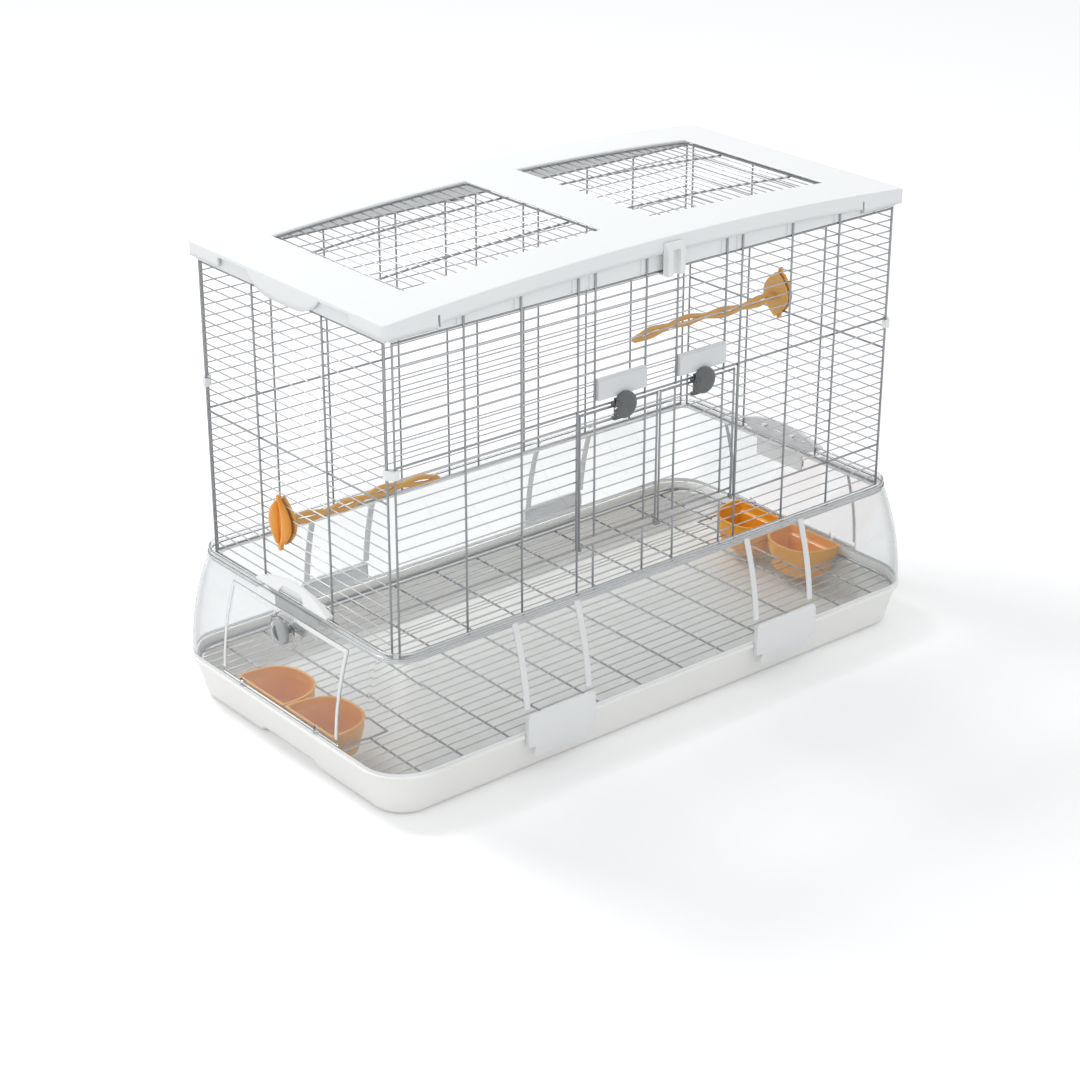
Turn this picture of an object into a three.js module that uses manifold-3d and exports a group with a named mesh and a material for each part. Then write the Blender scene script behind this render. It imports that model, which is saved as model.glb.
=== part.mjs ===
// Wire bird cage on a moulded tray, with a clear debris guard, two front doors, two side flaps
// with seed cups behind them, two perches and an arched roof frame with two wire grilles.
// Millimetres. +X is the length, -Y the front, +Z up. The origin is under the middle of the tray.

import * as THREE from "three";
import { mergeVertices } from "three/addons/utils/BufferGeometryUtils.js";
import Module from "manifold-3d";

const wasm = await Module();
wasm.setup();

// Fits
const seat = 0.3; // gap between two pieces that rest on or grip each other
const overrun = 5; // how far a cutting solid reaches past what it cuts
const weld = 0.2; // how deep a wire sinks into the wire it is welded to
const wirePass = 0.1; // gap between a wire and one it only crosses
const buttEase = 0.1; // a wire is this much thinner than the one it butts into
const finest = 0.0005; // sizes are rounded to this
const eyeSides = 6; // facets round a hinge bar and its bore

// Tray
const trayLength = 780;
const trayWidth = 417;
const trayHeight = 53.5;
const trayCorner = 50;
const trayWall = 2.5;
const rimHeight = 5;
const rimReach = 4;
const footDraft = 12;
const footRound = 8;
const ledgeDrop = 9.8;
const ledgeThick = 2;
const ledgeReach = 7.5;
const fingerWidth = 120;
const fingerTopWidth = 90;
const fingerHeight = 12;
const fingerDepth = 16;
const clipNotchSide = 1.2; // side play of a base clip in the rim's notch
const clipNotchBack = 1; // depth play behind it

// Wires
const heavyWire = 2.4;
const fineWire = 1.5;
const jambWire = 1.6;

// Clear debris guard
const guardInset = 3; // from the tray's rim to the guard's foot
const guardHeight = 122.2;
const guardLean = 22; // how far the wall comes in on its way up
const guardWall = 2.2;
const guardHeadCorner = 30;
const guardLip = 6; // straight lip above the curved wall
const shelfDrop = 2.5; // from the top of the curved wall to the shelf
const shelfThick = 2.5;
const shelfReach = 13.3; // from the lip's inner face to the shelf's edge
const shelfSideReach = 14.8;
const guardBeadReach = 1.3;
const guardBeadHeight = 2.2;
const guardSteps = 4; // facets up the curved wall
const hoodPlay = 1; // side play of a side keeper in the shelf
const guardFootCorner = trayCorner - guardInset;
const guardFoot = trayHeight + seat;
const guardHead = guardFoot + guardHeight;
const guardTop = guardHead + guardLip;
const shelfTop = guardHead - shelfDrop;
const shelfFoot = shelfTop - shelfThick;
const rimX = trayLength / 2 - guardInset - guardLean - guardWall; // the lip's inner faces
const rimY = trayWidth / 2 - guardInset - guardLean - guardWall;

// Wire walls, with rows counted up from the bottom rail
const wallInset = 11.3; // from the guard's lip to the rows of the front and back walls
const wallEndInset = 9.4; // the same at the side walls
const endWireStep = 5.5; // from one wall's rows to the end wires of the walls beside it
const rowPitch = 13;
const rowCount = 26;
const sillRows = 4; // rows under the doors' hinge wire
const headRows = 16; // rows under the wire above the doors
const midRows = 13; // rows under the heavier middle wire of the other walls
const outerUpright = 262;
const middleUpright = 189.5;
const doorUprightOuter = 92;
const doorUprightInner = 22;
const sideUpright = 62.5;
const frontPlane = rimY - wallInset;
const sidePlane = rimX - wallEndInset;
const wallHalfLength = sidePlane - endWireStep;
const wallHalfWidth = frontPlane - endWireStep;
const wallFoot = shelfTop + seat + heavyWire / 2;
const wallTop = wallFoot + rowPitch * rowCount;
const rowAt = (i) => wallFoot + rowPitch * i;

// Front doors
const doorHalfWidth = 54;
const doorGap = 4.4; // between the two doors
const jambPlay = 4.5; // from a door's side wire to its jamb
const doorHeadGap = 5; // from the door's top bar to the wire above
const doorFoot = 10; // hinge axis to bottom bar
const doorRows = 10;
const doorUpright = 35;
const curlPlay = 0.85; // round the hinge wire
const curlWall = 1.65;
const doorCentre = doorHalfWidth + doorGap / 2;
const jambOffset = doorCentre + doorHalfWidth + jambPlay;
const doorHeight = rowPitch * (headRows - sillRows) - doorHeadGap; // hinge axis to top bar
const curlBore = heavyWire / 2 + curlPlay;
const curlRadius = curlBore + curlWall;

// Turn latches
const knobDiameter = 30;
const knobThick = 6.6;
const knobNotch = 9;
const knobRise = 3; // knob axis above the door's top bar
const hubDiameter = 9;
const stubDiameter = 4;
const stubPlay = 0.45;
const lugWidth = 7;
const lugThick = 1.5;
const lugReach = 18;
const latchBaseWidth = 18;
const latchBaseTop = 10;
const latchBaseFoot = 15;
const latchBaseThick = 2;
const hookThick = 1.4;
const hookWidth = 2.5;
const doorTopRow = doorHeight - (doorHeight - doorFoot) / (doorRows + 1);
const latchHeight = doorHeight + knobRise;
const latchBaseBack = heavyWire / 2 + seat;
const doorLugBack = latchBaseBack + latchBaseThick + seat;

// Front keepers
const keeperRise = 9; // above the wire over the doors
const keeperHeight = 23.5;
const keeperWall = 1.2;
const keeperBevel = 2.4;
const keeperPlay = 0.4; // from the turned lug to the keeper
const keeperFoot = rowAt(headRows) + keeperRise;
const keeperFront = doorLugBack + lugThick + keeperPlay + keeperWall;

// Side flaps
const flapOpenWidth = 218;
const flapSill = 4.2; // wall left under the opening
const flapHeadDrop = 5; // wall left between the opening and the shelf
const flapGap = 0.5;
const flapAxisRise = 2.2;
const hingeBar = 3.2;
const hingePlay = 0.5;
const lugWallThick = 0.9;
const flapLugOffset = 70;
const flapLugWidth = 7;
const flapLugPlay = 1.5;
const padWidth = 50;
const padHeight = 35;
const padInset = 12; // from the tray's rim to the pad's face
const flapKnobDiameter = 28;
const flapKnobDrop = 18; // from the opening's head to the knob's axis
const flapLugReach = 22;
const flapLugInset = 1; // from the lip's inner face to the lug's
const flapLugThick = 2.2;
const hingeBore = hingeBar + 2 * hingePlay;
const flapOpenFoot = guardFoot + flapSill;
const flapOpenHead = shelfFoot - flapHeadDrop;
const flapAxisHeight = flapOpenFoot + flapAxisRise;
const flapKnobHeight = flapOpenHead - flapKnobDrop;
const padFace = trayLength / 2 - padInset;
const flapLugPlane = rimX - flapLugInset;

// Side keepers
const hoodWidth = 132;
const hoodRise = 17; // above the guard's lip at the middle
const hoodEndRise = 3; // and at the ends
const hoodProud = 0.8; // beyond the lip's outer face
const hoodLipHeight = 2.5;
const backPlateThick = 2.2;
const tongueWidth = 78;
const tongueDrop = 36; // from the guard's lip down to the tongue's foot
const tongueSlant = 12;
const recessWidth = 48;
const recessHeight = 12;
const recessDepth = 3.2;
const sideHookOffset = 24;
const hoodTop = guardTop + hoodRise;
const hoodEndTop = guardTop + hoodEndRise;
const hoodOut = wallEndInset + guardWall + hoodProud; // from the wall's wire plane
const tongueFoot = guardTop - tongueDrop;

// Base clips
const clipCentre = 167;
const clipWidth = 93;
const clipRise = 24.5; // above the tray's rim
const clipDrop = 29.5; // below it
const clipProud = 3.5; // in front of it
const clipDepth = 5.8;
const clipSkin = 2.4;
const clipBevel = 1.3;
const clipToe = 13;
const clipToeIn = 2.8;
const clipNotchWidth = 10;
const clipNotchHeight = 15;
const clipAxisInset = 3.8; // hinge axis behind the clip's face
const clipAxisDrop = 3.4; // and below its top
const clipLugOffset = 34.5;
const clipLugWidth = 5;
const clipLugPlay = 1.1;
const clipHookDepth = 4.4;
const catchWidth = 54;
const catchRise = 6; // above the clip's foot
const catchHeight = 3;
const catchInset = 1; // behind the tray's rim
const guardRibWidth = 8;
const guardRibReach = 1.5;
const guardRibGap = 3; // above the clip
const clipFoot = trayHeight - clipDrop;
const clipTop = trayHeight + clipRise;
const clipFace = trayWidth / 2 + clipProud;
const clipBack = clipFace - clipDepth;
const clipAxisPlane = clipFace - clipAxisInset;
const clipAxisHeight = clipTop - clipAxisDrop;
const clipHookReach = clipFace - clipSkin - clipHookDepth;
const catchFoot = clipFoot + catchRise;
const catchFace = trayWidth / 2 - catchInset;
const guardRibFoot = clipTop + guardRibGap;

// Seed cups
const cupWidth = 91;
const cupDepth = 62;
const cupGapHalf = 0.4;
const cupInset = 10; // from the tray's rim to the cup's outer face
const cupStep = 4.6; // the bowl's face behind the rim's
const cupDrop = 26.7; // bowl below its shoulder
const cupRimRise = 13;
const cupWall = 2;
const cupShoulder = 2.5;
const cupDraft = 6;
const cupBodyMargin = 3.6;
const cupRimLip = 1.4;
const cupBulgeShare = 0.8; // below 1 squares off the half moon
const cupFlatShare = 0.93; // straight side, of the full width
const cupOuterFace = trayLength / 2 - cupInset;
const cupBodyFace = cupOuterFace - cupStep;

// Floor grille
const grilleInset = 10.5; // from the tray's rim to the outer wire
const grilleCornerStep = 10; // outer wire's corner, less than the tray's
const grilleEdgeGap = 9.5; // from the outer wire to the wire beside it
const grilleWires = 27;
const barPairs = 5;
const barInset = 31.75; // from the cups' bay to the bar beside it
const endBarInset = 44.5; // from the outer wire to the short bars
const bayGap = 5; // from a cup's round side to the bay's cross wire
const baySideGap = 2.6; // from a cup to the bay's side wire
const grilleHalfLength = trayLength / 2 - grilleInset;
const grilleHalfWidth = trayWidth / 2 - grilleInset;
const grilleCorner = trayCorner - grilleCornerStep;
const grillePitch = (2 * (grilleHalfWidth - grilleEdgeGap)) / (grilleWires - 1);
const bayWire = cupOuterFace - cupDepth - bayGap;
const cupBayHalf = cupWidth + cupGapHalf + baySideGap;
const barPitch = (bayWire - barInset) / (barPairs - 1 / 2);
const endBar = grilleHalfLength - endBarInset;
const grilleHeight = trayHeight - ledgeDrop + seat + heavyWire / 2;
const cupShoulderFoot = grilleHeight + heavyWire / 2 + seat;
const cupFoot = cupShoulderFoot - cupDrop;

// Perches
const perchLength = 222;
const strandWire = 6.2;
const strandSwing = 3.6;
const strandSide = 1.1;
const flangeWidth = 40;
const flangeHeight = 56;
const flangeThick = 5;
const neckWidth = 10;
const neckHeight = rowPitch - fineWire - 2 * seat;
const nutThick = 6;
const nutSlot = 3;
const nutStubWidth = 7;
const nutStubLength = 8;
const leftPerchAside = 27;
const leftPerchRows = 6; // rows under the perch's neck
const rightPerchAside = 10;
const rightPerchRows = 14;
const perchSag = 14; // droop of the free end
const perchSway = 15; // sideways run of the free end
const perchSeat = heavyWire - buttEase - fineWire / 2 + seat; // from the rows' plane to the flange

// Corner clips
const cornerClipRows = 15; // rows under the clip
const cornerClipWall = 2;

// Roof
const roofOverhang = 6; // beyond the rows of the front and back walls
const roofEndOverhang = 6.6; // beyond the side walls' rows
const roofCorner = 6;
const roofDepth = 22; // from the walls' top rail to the roof's edge
const roofRise = 17.5; // crown above the short sides' edges
const roofFallShare = 0.1; // part of the rise lost at the front and back edges
const roofSkin = 3;
const roofSag = 1.2; // how far the crown's facets lie under its curve
const skirtDrop = 20.5; // feet of the skirt's parts below the roof's edge
const blockDrop = 16;
const lobeDrop = 25;
const recessDrop = 5;
const fasciaHeight = 17; // from the arched front edge down to the set-back band
const skirtSetBack = 2.6;
const blockLength = 67; // corner block, from the short side
const blockSlot = 3;
const sideBlock = 59;
const lobeHalf = 64;
const windowNear = 36;
const windowBorder = 61.5; // roof left in front of and behind a window
const windowEndBorder = 67; // roof left at its end
const seatRib = 3;
const grilleLap = 4; // how far a roof grille reaches under the skin
const roofGrilleWires = 19;
const crossBarOffset = 57;
const roofHookOffset = 66;
const roofHookWidth = 9;
const roofHookWall = 1.6;
const roofHalfLength = sidePlane + roofEndOverhang;
const roofHalfWidth = frontPlane + roofOverhang;
const roofEdge = wallTop + roofDepth;
const skirtFoot = roofEdge - skirtDrop;
const blockFoot = roofEdge - blockDrop;
const lobeFoot = roofEdge - lobeDrop;
const recessFoot = roofEdge - recessDrop;
const windowFar = roofHalfLength - windowEndBorder;
const windowHalf = roofHalfWidth - windowBorder;
const grilleX = [windowNear - grilleLap, windowFar + grilleLap];
const grilleY = windowHalf + grilleLap;

// Roof clips
const roofClipWidth = 24;
const roofClipAside = 8; // from the roof's middle
const roofClipDrop = 25.3; // below the roof's edge
const roofClipRise = 10; // above it
const roofClipLeg = 7;
const roofClipProud = 9;
const roofClipSkin = 2.4;
const roofClipTongueDrop = 7;
const roofClipToe = 1.8;
const roofClipFoot = roofEdge - roofClipDrop;
const roofClipTop = roofEdge + roofClipRise;

// Finishes
const finish = (color, roughness, metalness = 0, opacity = 1) =>
  new THREE.MeshStandardMaterial({ color, roughness, metalness, opacity, transparent: opacity < 1 });
const ivory = finish(0xe9e9e4, 0.45);
const clear = finish(0xcfdbe0, 0.12, 0, 0.35);
const wire = finish(0x55585c, 0.4, 0.8);
const white = finish(0xeef0f2, 0.4);
const grey = finish(0x7d8386, 0.3);
const orange = finish(0xd9843b, 0.5);
const tan = finish(0xd9a05a, 0.5);

const both = (value) => [-value, value];
const sum = (solids) => solids.reduce((all, next) => all.add(next));
const grow = (range, by) => [range[0] - by, range[1] + by];
const around = (middle, width) => [middle - width / 2, middle + width / 2];

/** Closed three.js geometry as a solid that can be joined and cut. */
function solid(geometry) {
  const loose = geometry.index ? geometry.toNonIndexed() : geometry.clone();
  loose.deleteAttribute("normal");
  loose.deleteAttribute("uv");
  const values = loose.attributes.position.array;
  values.forEach((value, i) => {
    values[i] = Math.round(value / finest) * finest;
  });
  const shared = mergeVertices(loose);
  const vertProperties = new Float32Array(shared.attributes.position.array);
  const triVerts = new Uint32Array(shared.index.array);
  return new wasm.Manifold(new wasm.Mesh({ numProp: 3, vertProperties, triVerts }));
}

/** Solid as a named mesh. */
function part(name, shape, material) {
  const { vertProperties, triVerts } = shape.getMesh();
  const geometry = new THREE.BufferGeometry();
  geometry.setAttribute("position", new THREE.BufferAttribute(vertProperties, 3));
  geometry.setIndex(new THREE.BufferAttribute(triVerts, 1));
  geometry.computeVertexNormals();
  const mesh = new THREE.Mesh(geometry, material);
  mesh.name = name;
  return mesh;
}

/** Upright box from three [low, high] ranges. */
function box(x, y, z) {
  const geometry = new THREE.BoxGeometry(1, 1, 1);
  const corners = geometry.attributes.position;
  const pick = (value, range) => range[value < 0 ? 0 : 1];
  for (let i = 0; i < corners.count; i += 1) {
    corners.setXYZ(i, pick(corners.getX(i), x), pick(corners.getY(i), y), pick(corners.getZ(i), z));
  }
  return solid(geometry);
}

/** Outline of [across, up] pairs pushed along an axis: x takes (y, z), y takes (x, z), z takes (x, y). */
function push(axis, outline, range, holes = []) {
  const swap = axis === "y";
  const point = ([a, b]) => (swap ? new THREE.Vector2(b, a) : new THREE.Vector2(a, b));
  const edge = outline.map(point);
  const shape = new THREE.Shape(THREE.ShapeUtils.isClockWise(edge) ? edge.reverse() : edge);
  shape.holes = holes.map((hole) => new THREE.Path(hole.map(point)));
  const geometry = new THREE.ExtrudeGeometry(shape, { depth: range[1] - range[0], bevelEnabled: false });
  geometry.translate(0, 0, range[0]);
  const [x, y, z] = [new THREE.Vector3(1, 0, 0), new THREE.Vector3(0, 1, 0), new THREE.Vector3(0, 0, 1)];
  const turn = { x: [y, z, x], y: [z, x, y], z: [x, y, z] }[axis];
  geometry.applyMatrix4(new THREE.Matrix4().makeBasis(...turn));
  return solid(geometry);
}

/** Points of a circle, as [across, up] pairs. */
function circle(across, up, radius, sides) {
  return Array.from({ length: sides }, (_, i) => {
    const angle = ((i + 1 / 2) * 2 * Math.PI) / sides;
    return [across + radius * Math.cos(angle), up + radius * Math.sin(angle)];
  });
}

/** Rounded rectangle round the origin, as [x, y] pairs, anticlockwise. */
function rounded(halfX, halfY, radius, steps = 4) {
  const corners = [[1, 1], [-1, 1], [-1, -1], [1, -1]];
  return corners.flatMap(([sx, sy], corner) =>
    Array.from({ length: steps + 1 }, (_, i) => {
      const angle = ((corner + i / steps) * Math.PI) / 2;
      return [
        sx * (halfX - radius) + radius * Math.cos(angle),
        sy * (halfY - radius) + radius * Math.sin(angle),
      ];
    })
  );
}

/** Solid through level outlines, each { z, points }, from the lowest to the highest. */
function loft(levels) {
  const count = levels[0].points.length;
  const position = levels.flatMap(({ z, points }) => points.flatMap(([x, y]) => [x, y, z]));
  const index = [];
  for (let level = 0; level < levels.length - 1; level += 1) {
    for (let i = 0; i < count; i += 1) {
      const a = level * count + i;
      const b = level * count + ((i + 1) % count);
      index.push(a, b, b + count, a, b + count, a + count);
    }
  }
  const top = (levels.length - 1) * count;
  for (let i = 1; i < count - 1; i += 1) {
    index.push(0, i + 1, i, top, top + i, top + i + 1);
  }
  const geometry = new THREE.BufferGeometry();
  geometry.setAttribute("position", new THREE.Float32BufferAttribute(position, 3));
  geometry.setIndex(index);
  return solid(geometry);
}

/** Square wire along x, y or z. */
const wireX = (x, y, z, size) => box(x, around(y, size), around(z, size));
const wireY = (x, y, z, size) => box(around(x, size), y, around(z, size));
const wireZ = (x, y, z, size) => box(around(x, size), around(y, size), z);

/** Tray: a drafted, round-footed shell with a rim, a ledge for the grille and finger recesses. */
function makeTray() {
  const halfX = trayLength / 2 - rimReach;
  const halfY = trayWidth / 2 - rimReach;
  const rimFoot = trayHeight - rimHeight;
  const level = (z, inset) => ({ z, points: rounded(halfX - inset, halfY - inset, trayCorner - inset) });
  const draftAt = (z) => (footDraft * (rimFoot - z)) / rimFoot;
  const roundShares = [0, 0.3, 0.65, 1];
  const foot = (wall) =>
    roundShares.map((share) => {
      const angle = (share * Math.PI) / 2;
      const z = wall + (footRound - wall) * (1 - Math.cos(angle));
      return level(z, draftAt(z) + wall + (footRound - wall) * (1 - Math.sin(angle)));
    });
  const rim = push("z", rounded(trayLength / 2, trayWidth / 2, trayCorner), [rimFoot, trayHeight]);
  const body = loft([...foot(0), level(rimFoot + rimHeight / 2, 0)]).add(rim);
  const ledgeTop = trayHeight - ledgeDrop;
  const ledgeFoot = ledgeTop - ledgeThick;
  const hollow = loft([...foot(trayWall), level(ledgeFoot, draftAt(ledgeFoot) + trayWall)]);
  const throatInset = trayWall + ledgeReach;
  const throat = loft([level(ledgeFoot - ledgeThick, throatInset), level(ledgeTop + ledgeThick, throatInset)]);
  const mouth = loft([level(ledgeTop, trayWall), level(trayHeight + overrun, trayWall)]);
  const finger = (grown, deep) => {
    const [low, high] = [fingerWidth / 2 + grown, fingerTopWidth / 2 + grown];
    const top = fingerHeight + grown;
    return both(1).map((side) =>
      push(
        "x",
        [[-low, -overrun], [low, -overrun], [high, top], [-high, top]],
        [side * trayLength / 2 - fingerDepth - deep, side * trayLength / 2 + fingerDepth + deep]
      )
    );
  };
  const inside = hollow.subtract(sum(finger(trayWall, trayWall))).add(throat).add(mouth);
  let tray = body.subtract(sum(finger(0, 0))).subtract(inside);
  const notchHalf = clipWidth / 2 + clipNotchSide;
  for (const x of both(clipCentre)) {
    for (const side of both(1)) {
      const [near, far] = [clipBack - clipNotchBack, trayWidth / 2 + overrun];
      const y = [side * near, side * far].sort((a, b) => a - b);
      tray = tray.subtract(box(grow([x, x], notchHalf), y, [rimFoot - overrun, trayHeight + overrun]));
      const z = catchFoot + catchHeight;
      const wallY = halfY - draftAt(z) - trayWall / 2;
      const catchY = [side * wallY, side * catchFace].sort((a, b) => a - b);
      tray = tray.add(box(around(x, catchWidth), catchY, [catchFoot, z]));
    }
  }
  return tray;
}

/** Outer half sizes and corner of the guard at a height, drawn in by an extra inset. */
function guardOutline(z, inset = 0) {
  const share = Math.max(0, (z - guardFoot) / guardHeight) ** 2;
  const lean = guardInset + guardLean * share + inset;
  const corner = guardFootCorner + (guardHeadCorner - guardFootCorner) * share - inset;
  return rounded(trayLength / 2 - lean, trayWidth / 2 - lean, corner);
}

/** Outer face of the guard's short side, at a height. */
function guardFaceX(z) {
  const share = ((z - guardFoot) / guardHeight) ** 2;
  return trayLength / 2 - guardInset - guardLean * share;
}

/** The guard's curved wall between two heights, as an outer or an inner solid. */
function guardBody(low, high, inset) {
  const levels = Array.from({ length: guardSteps + 1 }, (_, i) => {
    const z = low + ((high - low) * i) / guardSteps;
    return { z, points: guardOutline(z, inset) };
  });
  return loft(levels);
}

/** Curved skin of the guard, before it is cut. */
const guardOuter = guardBody(guardFoot, guardHead, 0);
const guardInner = guardBody(guardFoot, guardHead, guardWall);
const flapAxisX = guardFaceX(flapAxisHeight) - guardWall / 2;

/** Hinge eye: a block with a bore along one axis, at [across, up]. */
function eye(axis, across, up, outline, range) {
  return push(axis, outline, range, [circle(across, up, hingeBore / 2, eyeSides)]);
}

/** Clear guard: curved wall, shelf for the wire walls, lip, flap openings, ribs and hinge eyes. */
function makeGuard() {
  const lip = push("z", guardOutline(guardHead), [guardHead - weld, guardTop]);
  const bead = push("z", guardOutline(guardHead, -guardBeadReach), around(guardHead, guardBeadHeight));
  const shelfHole = rounded(rimX - shelfReach, rimY - shelfSideReach, guardHeadCorner / 2);
  const cavity = guardBody(guardFoot - weld, shelfFoot, guardWall);
  const drop = push("z", shelfHole, [shelfFoot - overrun, shelfTop + overrun]);
  const well = push("z", guardOutline(guardHead, guardWall), [shelfTop, guardTop + overrun]);
  const ribs = [];
  for (const x of both(clipCentre)) {
    for (const edge of both((clipWidth - guardRibWidth) / 2)) {
      ribs.push(
        box(around(x + edge, guardRibWidth), both(trayWidth / 2), [guardRibFoot, guardHead - guardBeadHeight / 2])
      );
    }
  }
  const ribbed = guardBody(guardFoot, guardHead, -guardRibReach).intersect(sum(ribs));
  let guard = sum([guardOuter, lip, bead, ribbed]).subtract(sum([cavity, drop, well]));
  const opening = [-flapOpenWidth / 2, flapOpenWidth / 2];
  const clearance = hoodWidth / 2 + hoodPlay;
  for (const side of both(1)) {
    const across = [side * (rimX - shelfReach), side * trayLength / 2].sort((a, b) => a - b);
    guard = guard.subtract(box(across, opening, [flapOpenFoot, flapOpenHead]));
    const slot = [side * (rimX - shelfReach - overrun), side * rimX].sort((a, b) => a - b);
    const keep = [side * (rimX - shelfReach - overrun), side * (sidePlane - heavyWire)].sort((a, b) => a - b);
    guard = guard.subtract(
      box(slot, both(clearance), [shelfFoot - overrun, shelfTop + overrun / 2]).subtract(
        box(keep, both(clearance + overrun), [shelfFoot - overrun, shelfTop + overrun])
      )
    );
  }
  const eyes = [];
  const wallIn = hingeBore / 2 + lugWallThick;
  for (const side of both(1)) {
    for (const y of both(flapLugOffset)) {
      const x = side * flapAxisX;
      const outline = [
        [x - wallIn, flapOpenFoot - 2 * weld],
        [x + wallIn, flapOpenFoot - 2 * weld],
        [x + wallIn, flapAxisHeight + wallIn],
        [x - wallIn, flapAxisHeight + wallIn],
      ];
      eyes.push(eye("y", x, flapAxisHeight, outline, around(y, flapLugWidth)));
    }
    for (const x of both(clipCentre)) {
      for (const offset of both(clipLugOffset)) {
        const axis = side * clipAxisPlane;
        const root = side * (clipAxisPlane - hingeBore);
        const tip = side * (clipAxisPlane + wallIn);
        const outline = [
          [root, clipAxisHeight - wallIn],
          [tip, clipAxisHeight - wallIn],
          [tip, clipAxisHeight + wallIn],
          [root, clipAxisHeight + wallIn],
        ];
        eyes.push(eye("x", axis, clipAxisHeight, outline, around(x + offset, clipLugWidth)));
      }
    }
  }
  return guard.add(sum(eyes));
}

/** Clear side flap on the +X side: the piece of wall in the opening, its pad and hinge bar. */
function makeFlap() {
  const half = flapOpenWidth / 2 - flapGap;
  const range = [flapAxisHeight - hingeBar / 2 + weld, flapOpenHead - flapGap];
  const skin = guardOuter.subtract(guardInner).intersect(box([0, trayLength / 2], both(half), range));
  const z = flapKnobHeight;
  const padOutline = rounded(padWidth / 2, padHeight / 2, padHeight / 2 - weld, 3).map(([y, up]) => [y, up + z]);
  const pad = push("x", padOutline, [flapLugPlane, padFace]).subtract(guardInner).intersect(
    box([0, trayLength / 2], both(half), range)
  );
  const bar = push("y", circle(flapAxisX, flapAxisHeight, hingeBar / 2, eyeSides), both(half));
  const windowHalf = hingeBore / 2 + lugWallThick + flapLugPlay;
  const windows = both(flapLugOffset).map((y) =>
    box([flapAxisX - windowHalf, flapAxisX + windowHalf], around(y, flapLugWidth + 2 * flapLugPlay), [
      flapAxisHeight - windowHalf,
      flapAxisHeight + windowHalf,
    ])
  );
  const bore = push("x", circle(0, z, hubDiameter / 2 + stubPlay, 8), [flapLugPlane - overrun, padFace + overrun]);
  return sum([skin, pad]).subtract(sum(windows)).add(bar).subtract(bore);
}

/** Hook over a wall row at height z: it reaches in from y0, over the row and down behind it. */
function rowHook(x, y0, z, radius) {
  const over = radius + seat;
  const outline = [
    [y0, z + over],
    [over, z + over],
    [over, z - radius],
    [over + hookThick, z - radius],
    [over + hookThick, z + over + hookThick],
    [y0, z + over + hookThick],
  ];
  return push("x", outline, x);
}

/** Disc of a turn knob facing -Y with its back at y, a notch in its side and a bevelled face. */
function knobDisc(y, diameter, thick) {
  const radius = diameter / 2;
  const bevel = thick / 5;
  const profile = [
    [0, 0],
    [radius, 0],
    [radius, thick - bevel],
    [radius - bevel, thick],
    [0, thick],
  ].map(([r, up]) => new THREE.Vector2(r, up));
  const geometry = new THREE.LatheGeometry(profile, 16);
  geometry.rotateX(Math.PI);
  geometry.translate(0, y, 0);
  const notch = box([-radius - overrun, -radius + knobNotch / 3], [y - thick - overrun, y + overrun], [
    -knobNotch / 2,
    knobNotch,
  ]);
  return solid(geometry).subtract(notch);
}

/** Turn latch facing -Y: disc, hub, locking lug pointing along +X at rest, and stub. */
function makeLatch({ back, front, diameter, thick, lugBack, lugDeep, reach, hub, stubEnd, stub }) {
  const disc = knobDisc(-front, diameter, thick);
  const neck = push("y", circle(0, 0, hub / 2, 8), [-front - weld, -back]);
  const lug = box([0, reach], [-lugBack - lugDeep, -lugBack], around(0, lugWidth));
  const pin = push("y", circle(0, 0, stub / 2, 8), [-front - weld, stubEnd]);
  return sum([disc, neck, lug, pin]);
}

/** One wire wall: rows along x in the plane y = 0, uprights outside them, towards -Y. */
function makeWall({ half, uprights, door }) {
  const heavySize = heavyWire - buttEase;
  const pieces = [wallFoot, wallTop].map((z) => wireX(both(half), 0, z, heavySize));
  for (const x of both(half)) {
    pieces.push(wireZ(x, 0, grow([wallFoot, wallTop], heavyWire / 2), heavyWire));
  }
  for (let i = 1; i < rowCount; i += 1) {
    const z = rowAt(i);
    if (!door && i === midRows) {
      pieces.push(wireX(both(half), (heavySize - fineWire) / 2, z, heavySize));
      continue;
    }
    const size = door && (i === sillRows || i === headRows) ? heavySize : fineWire;
    const cut = door && i > sillRows && i < headRows;
    const spans = cut ? [[-half, -jambOffset], [jambOffset, half]] : [[-half, half]];
    spans.forEach((span) => pieces.push(wireX(span, 0, z, size)));
  }
  if (door) {
    for (const x of both(jambOffset)) {
      pieces.push(wireZ(x, 0, [rowAt(sillRows), rowAt(headRows)], jambWire));
    }
  }
  const y = -(fineWire / 2 + wirePass + heavyWire / 2);
  for (const x of uprights) {
    const short = door && Math.abs(x) < jambOffset;
    const spans = short
      ? [[wallFoot, rowAt(sillRows)], [rowAt(headRows), wallTop]]
      : [[wallFoot, wallTop]];
    spans.forEach((span) => pieces.push(wireZ(x, y, grow(span, fineWire / 3), heavyWire)));
  }
  return sum(pieces);
}

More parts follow.
